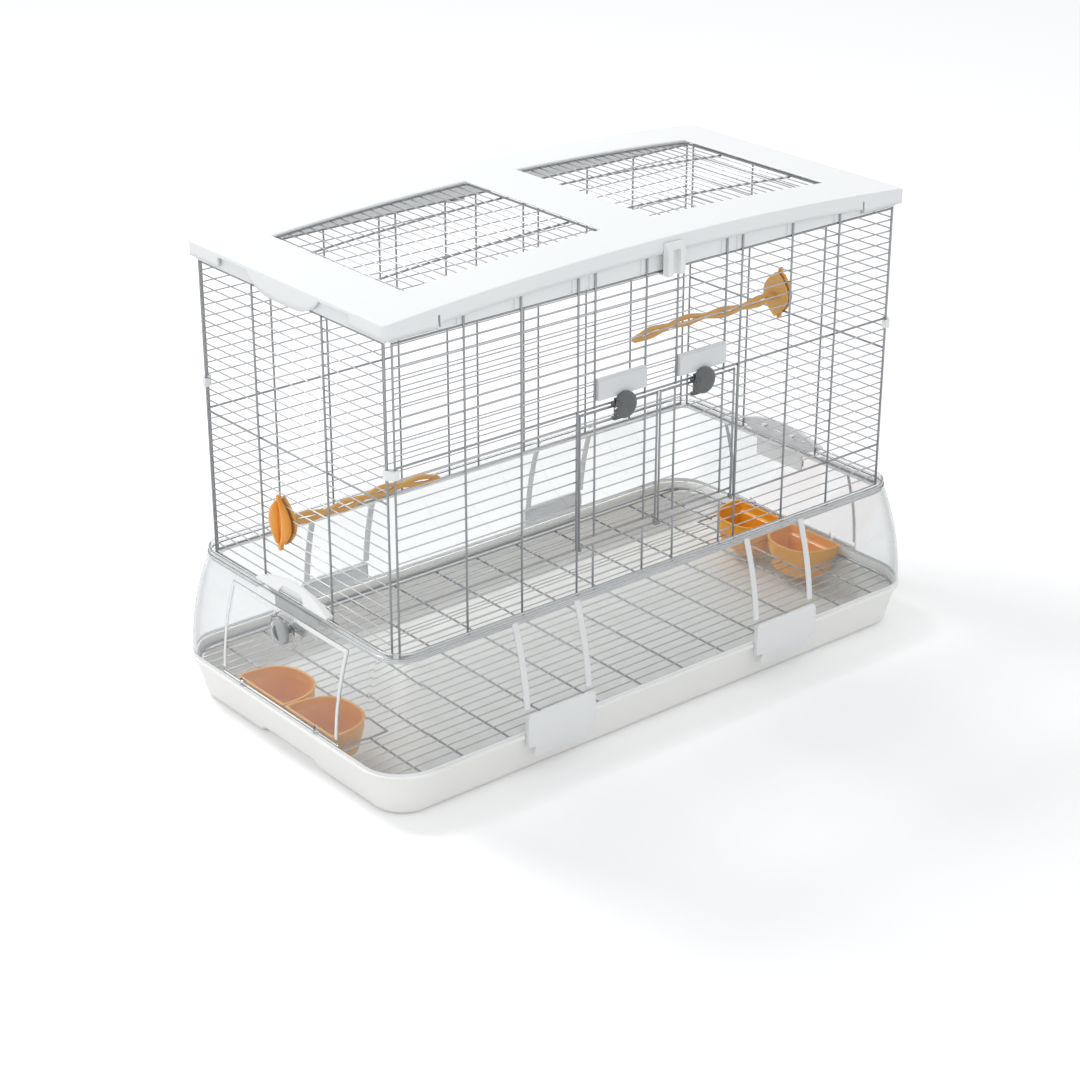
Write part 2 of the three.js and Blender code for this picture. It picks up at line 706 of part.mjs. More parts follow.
/** Wire door: x from its middle, z from its hinge axis, rows in the plane y = 0. */
function makeDoor() {
  const sides = [curlBore + weld, doorHeight + heavyWire / 2];
  const pieces = both(doorHalfWidth).map((x) => wireZ(x, 0, sides, heavyWire));
  for (const z of [doorFoot, doorHeight]) {
    pieces.push(wireX(both(doorHalfWidth), 0, z, heavyWire - buttEase));
  }
  const pitch = (doorHeight - doorFoot) / (doorRows + 1);
  for (let i = 1; i <= doorRows; i += 1) {
    pieces.push(wireX(both(doorHalfWidth), 0, doorFoot + pitch * i, fineWire));
  }
  const y = -(fineWire / 2 + wirePass + heavyWire / 2);
  for (const x of both(doorUpright)) {
    pieces.push(wireZ(x, y, grow([doorFoot, doorHeight], fineWire / 3), heavyWire));
  }
  for (const x of both(doorHalfWidth)) {
    const ring = push("x", circle(0, 0, curlRadius, 8), around(x, heavyWire - weld), [circle(0, 0, curlBore, 6)]);
    pieces.push(ring);
  }
  return sum(pieces);
}

/** Base of a door latch: a plate hooked over the door's top bar and under the row below. */
function makeLatchBase() {
  const [back, front] = [latchBaseBack, latchBaseBack + latchBaseThick];
  const plate = box(around(0, latchBaseWidth), [-front, -back], [
    doorHeight - latchBaseFoot,
    doorHeight + latchBaseTop,
  ]);
  const bore = push("y", circle(0, latchHeight, stubDiameter / 2 + stubPlay, 8), [-front - overrun, overrun]);
  const hooks = both((latchBaseWidth - hookWidth) / 2).flatMap((x) => {
    const upper = rowHook(around(x, hookWidth), -back - weld, doorHeight, heavyWire / 2);
    const lower = rowHook(around(x, hookWidth), -back - weld, -doorTopRow, fineWire / 2).mirror([0, 0, 1]);
    return [upper, lower];
  });
  return plate.subtract(bore).add(sum(hooks));
}

/** Front keeper: a cover open at its back and foot, hooked on a wall row beside the door's latch. */
function makeKeeper() {
  const length = doorUprightOuter - doorUprightInner - heavyWire - 2 * seat;
  const [front, back] = [-keeperFront, -latchBaseBack];
  const top = keeperFoot + keeperHeight;
  const skin = keeperWall;
  const outer = [
    [front, keeperFoot],
    [front, top - keeperBevel],
    [front + keeperBevel, top],
    [back, top],
    [back, keeperFoot],
  ];
  const inner = [
    [front + skin, keeperFoot - overrun],
    [front + skin, top - keeperBevel - skin / 2],
    [front + keeperBevel + skin / 2, top - skin],
    [back + overrun, top - skin],
    [back + overrun, keeperFoot - overrun],
  ];
  const ends = both(length / 2);
  const cover = push("x", outer, ends).subtract(push("x", inner, grow(ends, -2 * skin)));
  const row = headRows + 1;
  const hooks = both((length - hookWidth) / 2).map((x) =>
    rowHook(around(x, hookWidth), back - weld, rowAt(row), fineWire / 2)
  );
  return cover.add(sum(hooks));
}

/** Side keeper: arched hood over the guard's lip, tongue behind the flap's head, recess, hooks. */
function makeSideKeeper() {
  const back = fineWire / 2 + wirePass + heavyWire + seat;
  const face = back + backPlateThick;
  const lipFoot = guardTop + seat;
  const profile = [
    [-back, tongueFoot],
    [-face, tongueFoot],
    [-face, lipFoot],
    [-hoodOut, lipFoot],
    [-hoodOut, lipFoot + hoodLipHeight],
    [-face - backPlateThick / 2, hoodTop],
    [-back, hoodTop],
  ];
  const archSteps = 8;
  const arch = Array.from({ length: archSteps + 1 }, (_, i) => {
    const share = 1 - (2 * i) / archSteps;
    return [(share * hoodWidth) / 2, hoodEndTop + (hoodTop - hoodEndTop) * (1 - share ** 2)];
  });
  const shoulder = lipFoot - tongueSlant;
  const outline = [
    [-tongueWidth / 2, tongueFoot],
    [tongueWidth / 2, tongueFoot],
    [tongueWidth / 2, shoulder],
    [hoodWidth / 2, lipFoot],
    ...arch,
    [-hoodWidth / 2, lipFoot],
    [-tongueWidth / 2, shoulder],
  ];
  const front = [-hoodOut - overrun, -back + overrun];
  const body = push("x", profile, both(hoodWidth / 2)).intersect(push("y", outline, front));
  const mouth = rounded(recessWidth / 2, recessHeight, recessHeight - weld, 3).map(([x, z]) => [
    x,
    z + lipFoot - hoodLipHeight,
  ]);
  const recess = push("y", mouth, [-hoodOut - overrun, -hoodOut + recessDepth]);
  const hooks = both(sideHookOffset).map((x) =>
    rowHook(around(x, 2 * hookWidth), -back - weld, rowAt(1), fineWire / 2)
  );
  return body.subtract(recess).add(sum(hooks));
}

/** Base clip facing -Y, x from its middle: shelled plate, toe hook, windows and hinge bar. */
function makeClip() {
  const half = clipWidth / 2;
  const face = clipFace;
  const inner = clipFace - clipSkin;
  const plateOutline = [
    [-inner, clipTop],
    [-face + clipBevel, clipTop],
    [-face, clipTop - clipBevel],
    [-face, clipFoot + clipToe],
    [-face + clipToeIn, clipFoot],
    [-inner + clipToeIn, clipFoot],
    [-inner, clipFoot + clipToe],
  ];
  const ribTop = clipAxisHeight + hingeBar / 2;
  const pieces = [push("x", plateOutline, both(half))];
  const ribY = [-inner - weld, -clipBack];
  for (const x of both(half - clipSkin / 2)) {
    pieces.push(box(around(x, clipSkin), ribY, [clipFoot + clipNotchHeight, ribTop]));
  }
  const lower = clipFoot + clipNotchHeight;
  const corners = both(half).map((x) =>
    box(around(x, 2 * clipNotchWidth), [-face - overrun, -inner + overrun], [clipFoot - overrun, lower])
  );
  const reach = hingeBore / 2 + lugWallThick + clipLugPlay;
  const windows = both(clipLugOffset).map((x) =>
    box(around(x, clipLugWidth + 2 * clipLugPlay), [-face - overrun, -inner + overrun], [
      clipAxisHeight - reach,
      clipTop + overrun,
    ])
  );
  const hookTop = catchFoot - seat;
  const hook = box(around(0, catchWidth - 2 * seat), [-inner - weld, -clipHookReach], [
    hookTop - catchHeight,
    hookTop,
  ]);
  const bar = push("x", circle(-clipAxisPlane, clipAxisHeight, hingeBar / 2, eyeSides), both(half - clipSkin / 2));
  return sum(pieces).subtract(sum([...corners, ...windows])).add(sum([hook, bar]));
}

/** Floor grille: outer wire, fine wires along x, heavy bars under them, bays for the cups. */
function makeFloorGrille() {
  const z = grilleHeight;
  const level = around(z, heavyWire);
  const halfX = grilleHalfLength;
  const halfY = grilleHalfWidth;
  const edge = heavyWire / 2;
  const frame = push("z", rounded(halfX + edge, halfY + edge, grilleCorner + edge, 4), level, [
    rounded(halfX - edge, halfY - edge, grilleCorner - edge, 4),
  ]);
  const pieces = [frame];
  const bay = bayWire;
  for (let i = 0; i < grilleWires; i += 1) {
    const y = (i - (grilleWires - 1) / 2) * grillePitch;
    const cornerY = Math.max(0, Math.abs(y) - (halfY - grilleCorner));
    const reach = halfX - grilleCorner + Math.sqrt(grilleCorner ** 2 - cornerY ** 2);
    const inBay = Math.abs(y) < cupBayHalf;
    const middle = i === (grilleWires - 1) / 2;
    const heavy = i === 0 || i === grilleWires - 1;
    const end = inBay && !middle ? bay : reach;
    pieces.push(wireX(both(end), y, z, heavy ? heavyWire - weld : fineWire));
  }
  for (const side of both(1)) {
    pieces.push(wireY(side * bay, both(cupBayHalf), z, heavyWire - weld));
    for (const y of both(cupBayHalf)) {
      const x = [side * (bay - edge), side * halfX].sort((a, b) => a - b);
      pieces.push(wireX(x, y, z, heavyWire - weld / 2));
    }
  }
  const under = z - fineWire / 2 - wirePass - heavyWire / 2;
  const bars = [];
  for (let i = 0; i < barPairs; i += 1) {
    bars.push(...both(barPitch * (i + 1 / 2)));
  }
  const barEnd = ((grilleWires - 1) / 2) * grillePitch + edge;
  for (const x of bars) {
    pieces.push(wireY(x, both(barEnd), under, heavyWire));
  }
  for (const x of both(endBar)) {
    for (const side of both(1)) {
      const y = [side * (cupBayHalf - edge), side * barEnd].sort((a, b) => a - b);
      pieces.push(wireY(x, y, under, heavyWire));
    }
  }
  return sum(pieces);
}

/** Half-moon outline: flat side on x = face, round side towards -X, y from its middle. */
function halfMoon(face, depth, half) {
  const steps = 8;
  const round = Array.from({ length: steps + 1 }, (_, i) => {
    const angle = Math.PI / 2 + (Math.PI * i) / steps;
    const across = Math.sign(Math.cos(angle)) * Math.abs(Math.cos(angle)) ** cupBulgeShare;
    const up = Math.sign(Math.sin(angle)) * Math.abs(Math.sin(angle)) ** cupBulgeShare;
    const lead = depth / 8;
    return [face - lead + across * (depth - lead), up * half];
  });
  return [[face, half * cupFlatShare], ...round, [face, -half * cupFlatShare]];
}

/** Seed cup on the +X side: shouldered, drafted half-moon bowl with a rolled rim. */
function makeCup() {
  const half = cupWidth / 2;
  const top = cupShoulderFoot + cupRimRise;
  const bodyDepth = cupDepth - cupBodyMargin - (cupOuterFace - cupBodyFace) / 2;
  const lower = { face: cupBodyFace, depth: bodyDepth, half: half - cupBodyMargin };
  const upper = { face: cupOuterFace, depth: cupDepth, half };
  const ring = (z, from, inset) => ({
    z,
    points: halfMoon(from.face - inset, from.depth - 2 * inset, from.half - inset),
  });
  const bowlFoot = cupFoot + cupWall;
  const body = loft([ring(cupFoot, lower, cupDraft), ring(cupShoulderFoot + cupShoulder, lower, 0)]);
  const collar = loft([ring(cupShoulderFoot, upper, cupRimLip), ring(top - cupRimLip, upper, cupRimLip)]);
  const rim = loft([ring(top - cupRimLip, upper, 0), ring(top, upper, 0)]);
  const hollow = loft([
    ring(bowlFoot, lower, cupDraft + cupWall),
    ring(cupShoulderFoot + cupShoulder - cupWall, lower, cupWall),
    ring(cupShoulderFoot + cupShoulder, upper, cupRimLip + cupWall),
    ring(top + overrun, upper, cupRimLip + cupWall),
  ]);
  return sum([body, collar, rim]).subtract(hollow);
}

/** Perch pointing +X from its wall at x = 0: two strands that cross, a flange and a neck. */
function makePerch() {
  const liftShares = [0, 0.28, 0.43, 0.43, 0.36, 0.43, 0.64, 1];
  const asideShares = [0, 0.07, 0.2, 0.4, 0.6, 0.73, 0.87, 1];
  const inner = perchSeat;
  const start = inner + flangeThick / 2;
  const centre = new THREE.CatmullRomCurve3(
    liftShares.map((share, i) => {
      const along = start + ((perchLength - strandWire / 2 - start) * i) / (liftShares.length - 1);
      return new THREE.Vector3(along, asideShares[i] * perchSway, -share * perchSag);
    })
  );
  const crossings = 4;
  const samples = 16;
  const strands = both(1).map((side) => {
    const points = Array.from({ length: samples + 1 }, (_, i) => {
      const share = i / samples;
      const at = centre.getPoint(share);
      const swing = Math.sin(share * crossings * Math.PI) * side;
      return at.add(new THREE.Vector3(0, swing * strandSide, swing * strandSwing));
    });
    return solid(sweep(points, strandWire / 2, 5));
  });
  const flange = push("x", lens(flangeWidth, flangeHeight), [inner, inner + flangeThick]);
  const neck = box([seat - perchSeat, inner + flangeThick / 2], around(0, neckWidth), around(0, neckHeight));
  return sum([...strands, flange, neck]);
}

/** Tube of even radius round a list of points, with its ring square to the +X run. */
function sweep(points, radius, sides) {
  const outline = circle(0, 0, radius, sides);
  const position = points.flatMap((p) => outline.flatMap(([y, z]) => [p.x, p.y + y, p.z + z]));
  const index = [];
  for (let i = 0; i < points.length - 1; i += 1) {
    for (let j = 0; j < sides; j += 1) {
      const a = i * sides + j;
      const b = i * sides + ((j + 1) % sides);
      index.push(a, b, b + sides, a, b + sides, a + sides);
    }
  }
  const last = (points.length - 1) * sides;
  for (let j = 1; j < sides - 1; j += 1) {
    index.push(0, j + 1, j, last, last + j, last + j + 1);
  }
  const geometry = new THREE.BufferGeometry();
  geometry.setAttribute("position", new THREE.Float32BufferAttribute(position, 3));
  geometry.setIndex(index);
  return geometry;
}

/** Upright lens with pointed ends, as [y, z] pairs. */
function lens(width, height) {
  const steps = 6;
  return both(1).flatMap((side) =>
    Array.from({ length: steps }, (_, i) => {
      const share = -1 + (2 * i) / steps;
      return [(-side * width * (1 - share ** 2)) / 2, (side * -share * height) / 2];
    })
  );
}

/** Quarter-turn nut on the outside of the wall, x away from the cage is negative. */
function makeNut() {
  const x = [-perchSeat - nutThick, -perchSeat];
  const body = push("x", lens(flangeWidth, flangeHeight), x);
  const slot = box([x[0] - overrun, x[0] + nutThick / 2], around(0, nutSlot), around(0, flangeHeight / 2));
  const stubs = box([x[0] + nutThick / 4, x[1]], around(0, nutStubWidth), around(0, flangeHeight + nutStubLength));
  return body.subtract(slot).add(stubs);
}

/** Corner clip: a block bent round two end wires, with a channel for each. */
function makeCornerClip() {
  const wall = heavyWire / 2 + seat + cornerClipWall;
  const [ax, ay] = [wallHalfLength, frontPlane];
  const [bx, by] = [sidePlane, wallHalfWidth];
  const outline = [
    [ax - wall, -ay - wall],
    [bx - cornerClipWall, -ay - wall],
    [bx + wall, -by - cornerClipWall],
    [bx + wall, -by + wall],
    [bx - heavyWire / 2 - seat, -by + wall],
    [ax - wall, -ay + heavyWire / 2 + seat],
  ];
  const gap = heavyWire / 2 + seat;
  const z = around(rowAt(cornerClipRows) + rowPitch / 2, rowPitch - heavyWire - 2 * seat);
  const through = grow(z, overrun);
  const channels = [
    box([ax - gap, ax + gap], [-ay - gap, -ay + gap], through),
    box([bx - gap, bx + gap], [-by - gap, -by + gap], through),
  ];
  return push("z", outline, z).subtract(sum(channels));
}

const crownShares = [-1, -0.8, -0.5, -0.1, 0.1, 0.5, 0.8, 1];
const roofCross = (y) => 1 - roofFallShare * (Math.abs(y) / roofHalfWidth) ** 4;
const roofAlong = (x) => 1 - (x / roofHalfLength) ** 2;
const roofAt = (x, y) => roofEdge + roofRise * roofAlong(x) * roofCross(y);

/** Crowned block under the roof's surface lowered by drop, down to foot. */
function roofBlock(drop, foot, inset) {
  const acrossShares = [-1, -0.85, -0.65, -0.35, 0.35, 0.65, 0.85, 1];
  const xs = crownShares.map((share) => share * (roofHalfLength - inset));
  const ys = acrossShares.map((share) => share * (roofHalfWidth - inset));
  const position = [];
  const at = (i, j) => i * ys.length + j;
  xs.forEach((x) => ys.forEach((y) => position.push(x, y, roofAt(x, y) - drop)));
  const index = [];
  for (let i = 0; i < xs.length - 1; i += 1) {
    for (let j = 0; j < ys.length - 1; j += 1) {
      index.push(at(i, j), at(i + 1, j), at(i + 1, j + 1), at(i, j), at(i + 1, j + 1), at(i, j + 1));
    }
  }
  const edge = [
    ...xs.map((_, i) => at(i, 0)),
    ...ys.slice(1).map((_, j) => at(xs.length - 1, j + 1)),
    ...xs.slice(1).map((_, i) => at(xs.length - 2 - i, ys.length - 1)),
    ...ys.slice(1, -1).map((_, j) => at(0, ys.length - 2 - j)),
  ];
  const first = position.length / 3;
  edge.forEach((k) => position.push(position[3 * k], position[3 * k + 1], foot));
  const middle = position.length / 3;
  position.push(0, 0, foot);
  edge.forEach((k, i) => {
    const next = (i + 1) % edge.length;
    index.push(k, first + i, first + next, k, first + next, edge[next]);
    index.push(middle, first + next, first + i);
  });
  const geometry = new THREE.BufferGeometry();
  geometry.setAttribute("position", new THREE.Float32BufferAttribute(position, 3));
  geometry.setIndex(index);
  return solid(geometry);
}

const grilleZ = (x) => roofAt(x, grilleY) - roofSkin - roofSag - seat - heavyWire / 2;

/** Outline [x, z] under the arched front edge, from a foot up to the fascia's lower edge. */
function fasciaOutline(half, foot) {
  const stations = crownShares.map((share) => share * roofHalfLength).filter((x) => Math.abs(x) < half);
  const arch = [-half, ...stations, half].map((x) => [x, roofAt(x, roofHalfWidth) - fasciaHeight]);
  return [[half, foot], [-half, foot], ...arch];
}

/** Outline [y, z] of the lobe on a short side: straight top, foot flattened in the middle. */
function lobeOutline() {
  const steps = 10;
  const foot = Array.from({ length: steps + 1 }, (_, i) => {
    const share = -1 + (2 * i) / steps;
    return [share * lobeHalf, recessFoot - (recessFoot - lobeFoot) * (1 - share ** 4)];
  });
  return [[lobeHalf, recessFoot + weld], [-lobeHalf, recessFoot + weld], ...foot];
}

/** Moulded roof frame: crowned skin, skirt, corner blocks, windows, seat ribs and grille hooks. */
function makeRoof() {
  const outline = (inset) => rounded(roofHalfLength - inset, roofHalfWidth - inset, roofCorner - inset, 4);
  const tall = [skirtFoot - overrun, roofEdge + roofRise + overrun];
  const outer = roofBlock(0, skirtFoot, 0).intersect(push("z", outline(0), tall));
  const wall = roofSkin + skirtSetBack / 2;
  const inner = roofBlock(roofSkin, skirtFoot - overrun, wall).intersect(push("z", outline(wall), tall));
  const ribTall = [skirtFoot, roofEdge + roofRise];
  const ribs = [
    ...both(frontPlane).map((y) => box(both(sidePlane), around(y, seatRib), ribTall)),
    ...both(sidePlane).map((x) => box(around(x, seatRib), both(frontPlane), ribTall)),
  ];
  let roof = outer.subtract(inner);
  for (const side of both(1)) {
    const x = [side * windowNear, side * windowFar].sort((a, b) => a - b);
    roof = roof.subtract(box(x, both(windowHalf), tall));
  }
  const blockEdge = roofHalfLength - blockLength;
  const lobes = [];
  for (const side of both(1)) {
    const skirt = [side * (roofHalfWidth - skirtSetBack), side * (roofHalfWidth + overrun)].sort((a, b) => a - b);
    roof = roof.subtract(push("y", fasciaOutline(blockEdge, skirtFoot - overrun), skirt));
    for (const x of both(blockEdge + blockSlot / 2)) {
      roof = roof.subtract(box(around(x, blockSlot), skirt, [skirtFoot - overrun, roofEdge - roofSkin]));
    }
    const end = [side * (sidePlane + seatRib / 2), side * (roofHalfLength + overrun)].sort((a, b) => a - b);
    roof = roof.subtract(box(end, both(roofHalfWidth - sideBlock), [skirtFoot - overrun, recessFoot]));
    const lobeX = [side * (roofHalfLength - wall), side * roofHalfLength].sort((a, b) => a - b);
    lobes.push(push("x", lobeOutline(), lobeX));
  }
  const below = [skirtFoot - overrun, blockFoot];
  for (const x of both(1)) {
    const ends = [x * (blockEdge + blockSlot), x * (roofHalfLength + overrun)].sort((a, b) => a - b);
    roof = roof.subtract(box(ends, both(roofHalfWidth + overrun), below));
  }
  roof = roof.add(sum(ribs).intersect(outer)).add(sum(lobes));
  const hooks = [];
  for (const side of both(1)) {
    for (const offset of both(roofHookOffset)) {
      const x = side * (windowNear + windowFar) / 2 + offset;
      for (const edge of both(1)) {
        const near = grilleY + heavyWire / 2 + seat;
        const top = roofAt(x, near) - roofSkin / 2;
        const foot = grilleZ(x) - heavyWire - seat - wirePass;
        const post = [edge * near, edge * (near + roofHookWall)].sort((a, b) => a - b);
        const toe = [edge * (near - heavyWire), edge * (near + roofHookWall)].sort((a, b) => a - b);
        hooks.push(box(around(x, roofHookWidth), post, [foot - roofHookWall, top]));
        hooks.push(box(around(x, roofHookWidth), toe, [foot - roofHookWall, foot]));
      }
    }
  }
  return roof.add(sum(hooks));
}

/** Roof grille on the +X side: an arched frame, wires across and two bars under them. */
function makeRoofGrille() {
  const steps = 4;
  const stations = Array.from({ length: steps + 1 }, (_, i) => grilleX[0] + ((grilleX[1] - grilleX[0]) * i) / steps);
  const strip = (drop, size, y) => {
    const upper = stations.map((x) => [x, grilleZ(x) - drop + size / 2]);
    const lower = stations.map((x) => [x, grilleZ(x) - drop - size / 2]).reverse();
    return push("y", [...upper, ...lower], around(y, size));
  };
  const pieces = both(grilleY).map((y) => strip(0, heavyWire, y));
  const chord = (x) => {
    const i = Math.min(steps - 1, Math.floor(((x - grilleX[0]) / (grilleX[1] - grilleX[0])) * steps));
    const share = (x - stations[i]) / (stations[i + 1] - stations[i]);
    return grilleZ(stations[i]) * (1 - share) + grilleZ(stations[i + 1]) * share;
  };
  for (const x of grilleX) {
    pieces.push(wireY(x, both(grilleY + heavyWire / 2 + buttEase), grilleZ(x), heavyWire + buttEase));
  }
  const pitch = (grilleX[1] - grilleX[0]) / (roofGrilleWires + 1);
  for (let i = 1; i <= roofGrilleWires; i += 1) {
    const x = grilleX[0] + pitch * i;
    pieces.push(wireY(x, both(grilleY), chord(x), fineWire));
  }
  const drop = fineWire / 2 + wirePass + heavyWire / 2;
  const bars = both(crossBarOffset).map((y) => strip(drop, heavyWire, y));
  return sum([...pieces, ...bars]);
}

/** Roof clip facing -Y: an inverted U with a tongue between its legs and a hook under the rail. */
function makeRoofClip() {
  const back = roofHalfWidth + seat;
  const face = back + roofClipProud;
  const half = roofClipWidth / 2;
  const outline = [
    [-back, roofClipTop],
    [-back - roofClipProud / 2, roofClipTop],
    [-face, roofClipTop - roofClipProud],
    [-face, roofClipFoot + roofClipSkin],
    [-face + roofClipSkin / 2, roofClipFoot],
    [-back, roofClipFoot],
  ];
  const core = [
    [-back + overrun, roofClipTop - roofClipSkin],
    [-back - roofClipSkin, roofClipTop - roofClipSkin],
    [-face + roofClipSkin, roofClipTop - roofClipProud - roofClipSkin],
    [-face + roofClipSkin, roofClipFoot - overrun],
    [-back + overrun, roofClipFoot - overrun],
  ];
  const shell = push("x", outline, both(half)).subtract(push("x", core, both(half - roofClipLeg)));
  const slot = box(both(half - roofClipLeg), [-face - overrun, -face + 2 * roofClipSkin], [
    roofClipFoot - overrun,
    roofClipTop - roofClipTongueDrop,
  ]);
  const tongue = box(both(half - roofClipLeg + weld), [-back - roofClipSkin, -back], [
    roofClipFoot,
    roofClipTop - weld,
  ]);
  const railFoot = wallTop - heavyWire / 2 - seat;
  const toe = box(both(half), [-back - weld, -frontPlane + heavyWire], [railFoot - roofClipToe, railFoot]);
  return shell.subtract(slot).add(sum([tongue, toe]));
}

/** Group placed and turned about the upright axis, holding meshes. */
function place(children, { x = 0, y = 0, z = 0, turn = 0 } = {}) {
  const group = new THREE.Group();
  group.position.set(x, y, z);
  group.rotation.z = turn;
  group.add(...children);
  return group;
}

const cage = new THREE.Group();
const halfTurn = Math.PI;
const quarterTurn = Math.PI / 2;

cage.add(part("base_tray", makeTray(), ivory));
cage.add(part("floor_grille", makeFloorGrille(), wire));
cage.add(part("debris_guard", makeGuard(), clear));

// Wire walls
const uprights = [doorUprightInner, doorUprightOuter, jambOffset, middleUpright, outerUpright].flatMap(both);
const frontWall = makeWall({ half: wallHalfLength, uprights, door: true });
const backWall = makeWall({ half: wallHalfLength, uprights, door: false });
const sideWall = makeWall({ half: wallHalfWidth, uprights: both(sideUpright), door: false });
cage.add(place([part("wall_front", frontWall, wire)], { y: -frontPlane }));
cage.add(place([part("wall_back", backWall, wire)], { y: frontPlane, turn: halfTurn }));
cage.add(place([part("wall_left", sideWall, wire)], { x: -sidePlane, turn: -quarterTurn }));
cage.add(place([part("wall_right", sideWall, wire)], { x: sidePlane, turn: quarterTurn }));

// Front doors, each with its latch, and the keepers above them
const door = makeDoor();
const latchBase = makeLatchBase();
const doorLatch = makeLatch({
  back: doorLugBack,
  front: keeperFront + seat + seat / 2,
  diameter: knobDiameter,
  thick: knobThick,
  lugBack: doorLugBack,
  lugDeep: lugThick,
  reach: lugReach,
  hub: hubDiameter,
  stubEnd: -latchBaseBack - seat,
  stub: stubDiameter,
});
const keeper = makeKeeper();
const keeperCentre = (doorUprightInner + doorUprightOuter) / 2;
for (const [name, side] of [["left", -1], ["right", 1]]) {
  const knob = place([part(`door_knob_${name}`, doorLatch, grey)], { z: latchHeight });
  const pieces = [part(`front_door_${name}`, door, wire), part(`latch_base_${name}`, latchBase, grey), knob];
  cage.add(place(pieces, { x: side * doorCentre, y: -frontPlane, z: rowAt(sillRows) }));
  cage.add(place([part(`front_keeper_${name}`, keeper, white)], { x: side * keeperCentre, y: -frontPlane }));
}

// Side flaps with their latches, side keepers and seed cups
const flap = makeFlap();
const flapLatch = makeLatch({
  back: flapLugPlane + flapLugThick - padFace,
  front: seat,
  diameter: flapKnobDiameter,
  thick: knobThick,
  lugBack: flapLugPlane - padFace,
  lugDeep: flapLugThick,
  reach: flapLugReach,
  hub: hubDiameter,
  stubEnd: padFace - flapLugPlane,
  stub: hubDiameter - stubPlay,
});
const sideKeeper = makeSideKeeper();
const cup = makeCup();
for (const [name, turn] of [["left", halfTurn], ["right", 0]]) {
  const knob = place([part(`flap_knob_${name}`, flapLatch, grey)], { x: padFace, z: flapKnobHeight, turn: quarterTurn });
  const cups = [["front", -1], ["back", 1]].map(([end, side]) => {
    const y = side * (turn ? -1 : 1) * (cupWidth / 2 + cupGapHalf);
    return place([part(`seed_cup_${name}_${end}`, cup, orange)], { y });
  });
  cage.add(place([part(`side_flap_${name}`, flap, clear), knob, ...cups], { turn }));
  const keeperTurn = turn ? -quarterTurn : quarterTurn;
  const x = turn ? -sidePlane : sidePlane;
  cage.add(place([part(`side_keeper_${name}`, sideKeeper, white)], { x, turn: keeperTurn }));
}

// Base clips
const clip = makeClip();
for (const [row, turn] of [["front", 0], ["back", halfTurn]]) {
  for (const [name, side] of [["left", -1], ["right", 1]]) {
    const group = place([part(`base_clip_${row}_${name}`, clip, ivory)], { x: (turn ? -side : side) * clipCentre });
    cage.add(place([group], { turn }));
  }
}

// Perches with their nuts
const perch = makePerch();
const nut = makeNut();
const leftPerch = [part("perch_left", perch, tan), part("perch_nut_left", nut, orange)];
cage.add(place(leftPerch, { x: -sidePlane, y: leftPerchAside, z: rowAt(leftPerchRows) + rowPitch / 2 }));
const mirrored = (shape) => shape.mirror([1, 0, 0]);
const rightPerch = [
  part("perch_right", mirrored(perch), tan),
  part("perch_nut_right", mirrored(nut), orange),
];
cage.add(place(rightPerch, { x: sidePlane, y: rightPerchAside, z: rowAt(rightPerchRows) + rowPitch / 2 }));

// Corner clips
const cornerClip = makeCornerClip();
const otherCorner = cornerClip.mirror([1, 0, 0]);
cage.add(part("corner_clip_front_right", cornerClip, white));
cage.add(part("corner_clip_front_left", otherCorner, white));
cage.add(place([part("corner_clip_back_left", cornerClip, white)], { turn: halfTurn }));
cage.add(place([part("corner_clip_back_right", otherCorner, white)], { turn: halfTurn }));

// Roof
cage.add(part("roof_frame", makeRoof(), white));
const roofGrille = makeRoofGrille();
cage.add(part("roof_grille_right", roofGrille, wire));
cage.add(place([part("roof_grille_left", roofGrille, wire)], { turn: halfTurn }));
const roofClip = makeRoofClip();
cage.add(place([part("roof_clip_front", roofClip, white)], { x: roofClipAside }));
cage.add(place([part("roof_clip_back", roofClip, white)], { x: -roofClipAside, turn: halfTurn }));

export default cage;
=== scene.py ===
"""Looks of a wire bird cage with a clear debris guard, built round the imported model.

Sizes are in millimetres until a mesh is made. +X is the length, -Y the front, +Z up.
"""

import logging
import math
from dataclasses import dataclass, replace
from enum import Enum
from typing import Callable, Iterable, Optional, Sequence

import bmesh
import bpy
import numpy as np
from mathutils import Matrix, Vector


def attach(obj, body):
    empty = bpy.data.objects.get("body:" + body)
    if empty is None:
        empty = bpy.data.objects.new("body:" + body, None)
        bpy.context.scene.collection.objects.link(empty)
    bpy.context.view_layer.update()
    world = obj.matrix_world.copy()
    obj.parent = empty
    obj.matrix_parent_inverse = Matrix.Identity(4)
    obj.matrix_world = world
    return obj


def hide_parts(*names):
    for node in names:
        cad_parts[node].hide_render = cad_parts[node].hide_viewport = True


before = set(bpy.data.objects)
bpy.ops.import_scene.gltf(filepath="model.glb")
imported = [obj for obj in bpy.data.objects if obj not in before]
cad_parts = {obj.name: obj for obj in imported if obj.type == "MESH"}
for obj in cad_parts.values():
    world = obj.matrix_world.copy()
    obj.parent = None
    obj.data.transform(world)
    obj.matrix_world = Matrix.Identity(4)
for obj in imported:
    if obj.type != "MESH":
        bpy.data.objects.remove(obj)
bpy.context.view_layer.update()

log = logging.getLogger("cage")
MM = 0.001
SAME_POINT = 0.001  # points of a closed sheet nearer than this are one
WAYS = (-1, 1)
SIDES = (("left", -1), ("right", 1))
ROWS = (("front", -1), ("back", 1))

Array = np.ndarray
Mesh = bpy.types.Mesh
Node = bpy.types.Node
Piece = bpy.types.Object
Socket = bpy.types.NodeSocket
Span = tuple[float, float]
Point = Sequence[float]
Colour = tuple[float, float, float]
Placing = Callable[[Array], Array]
Pair = tuple[Piece, Piece]


# Shared sizes, as in the part's source


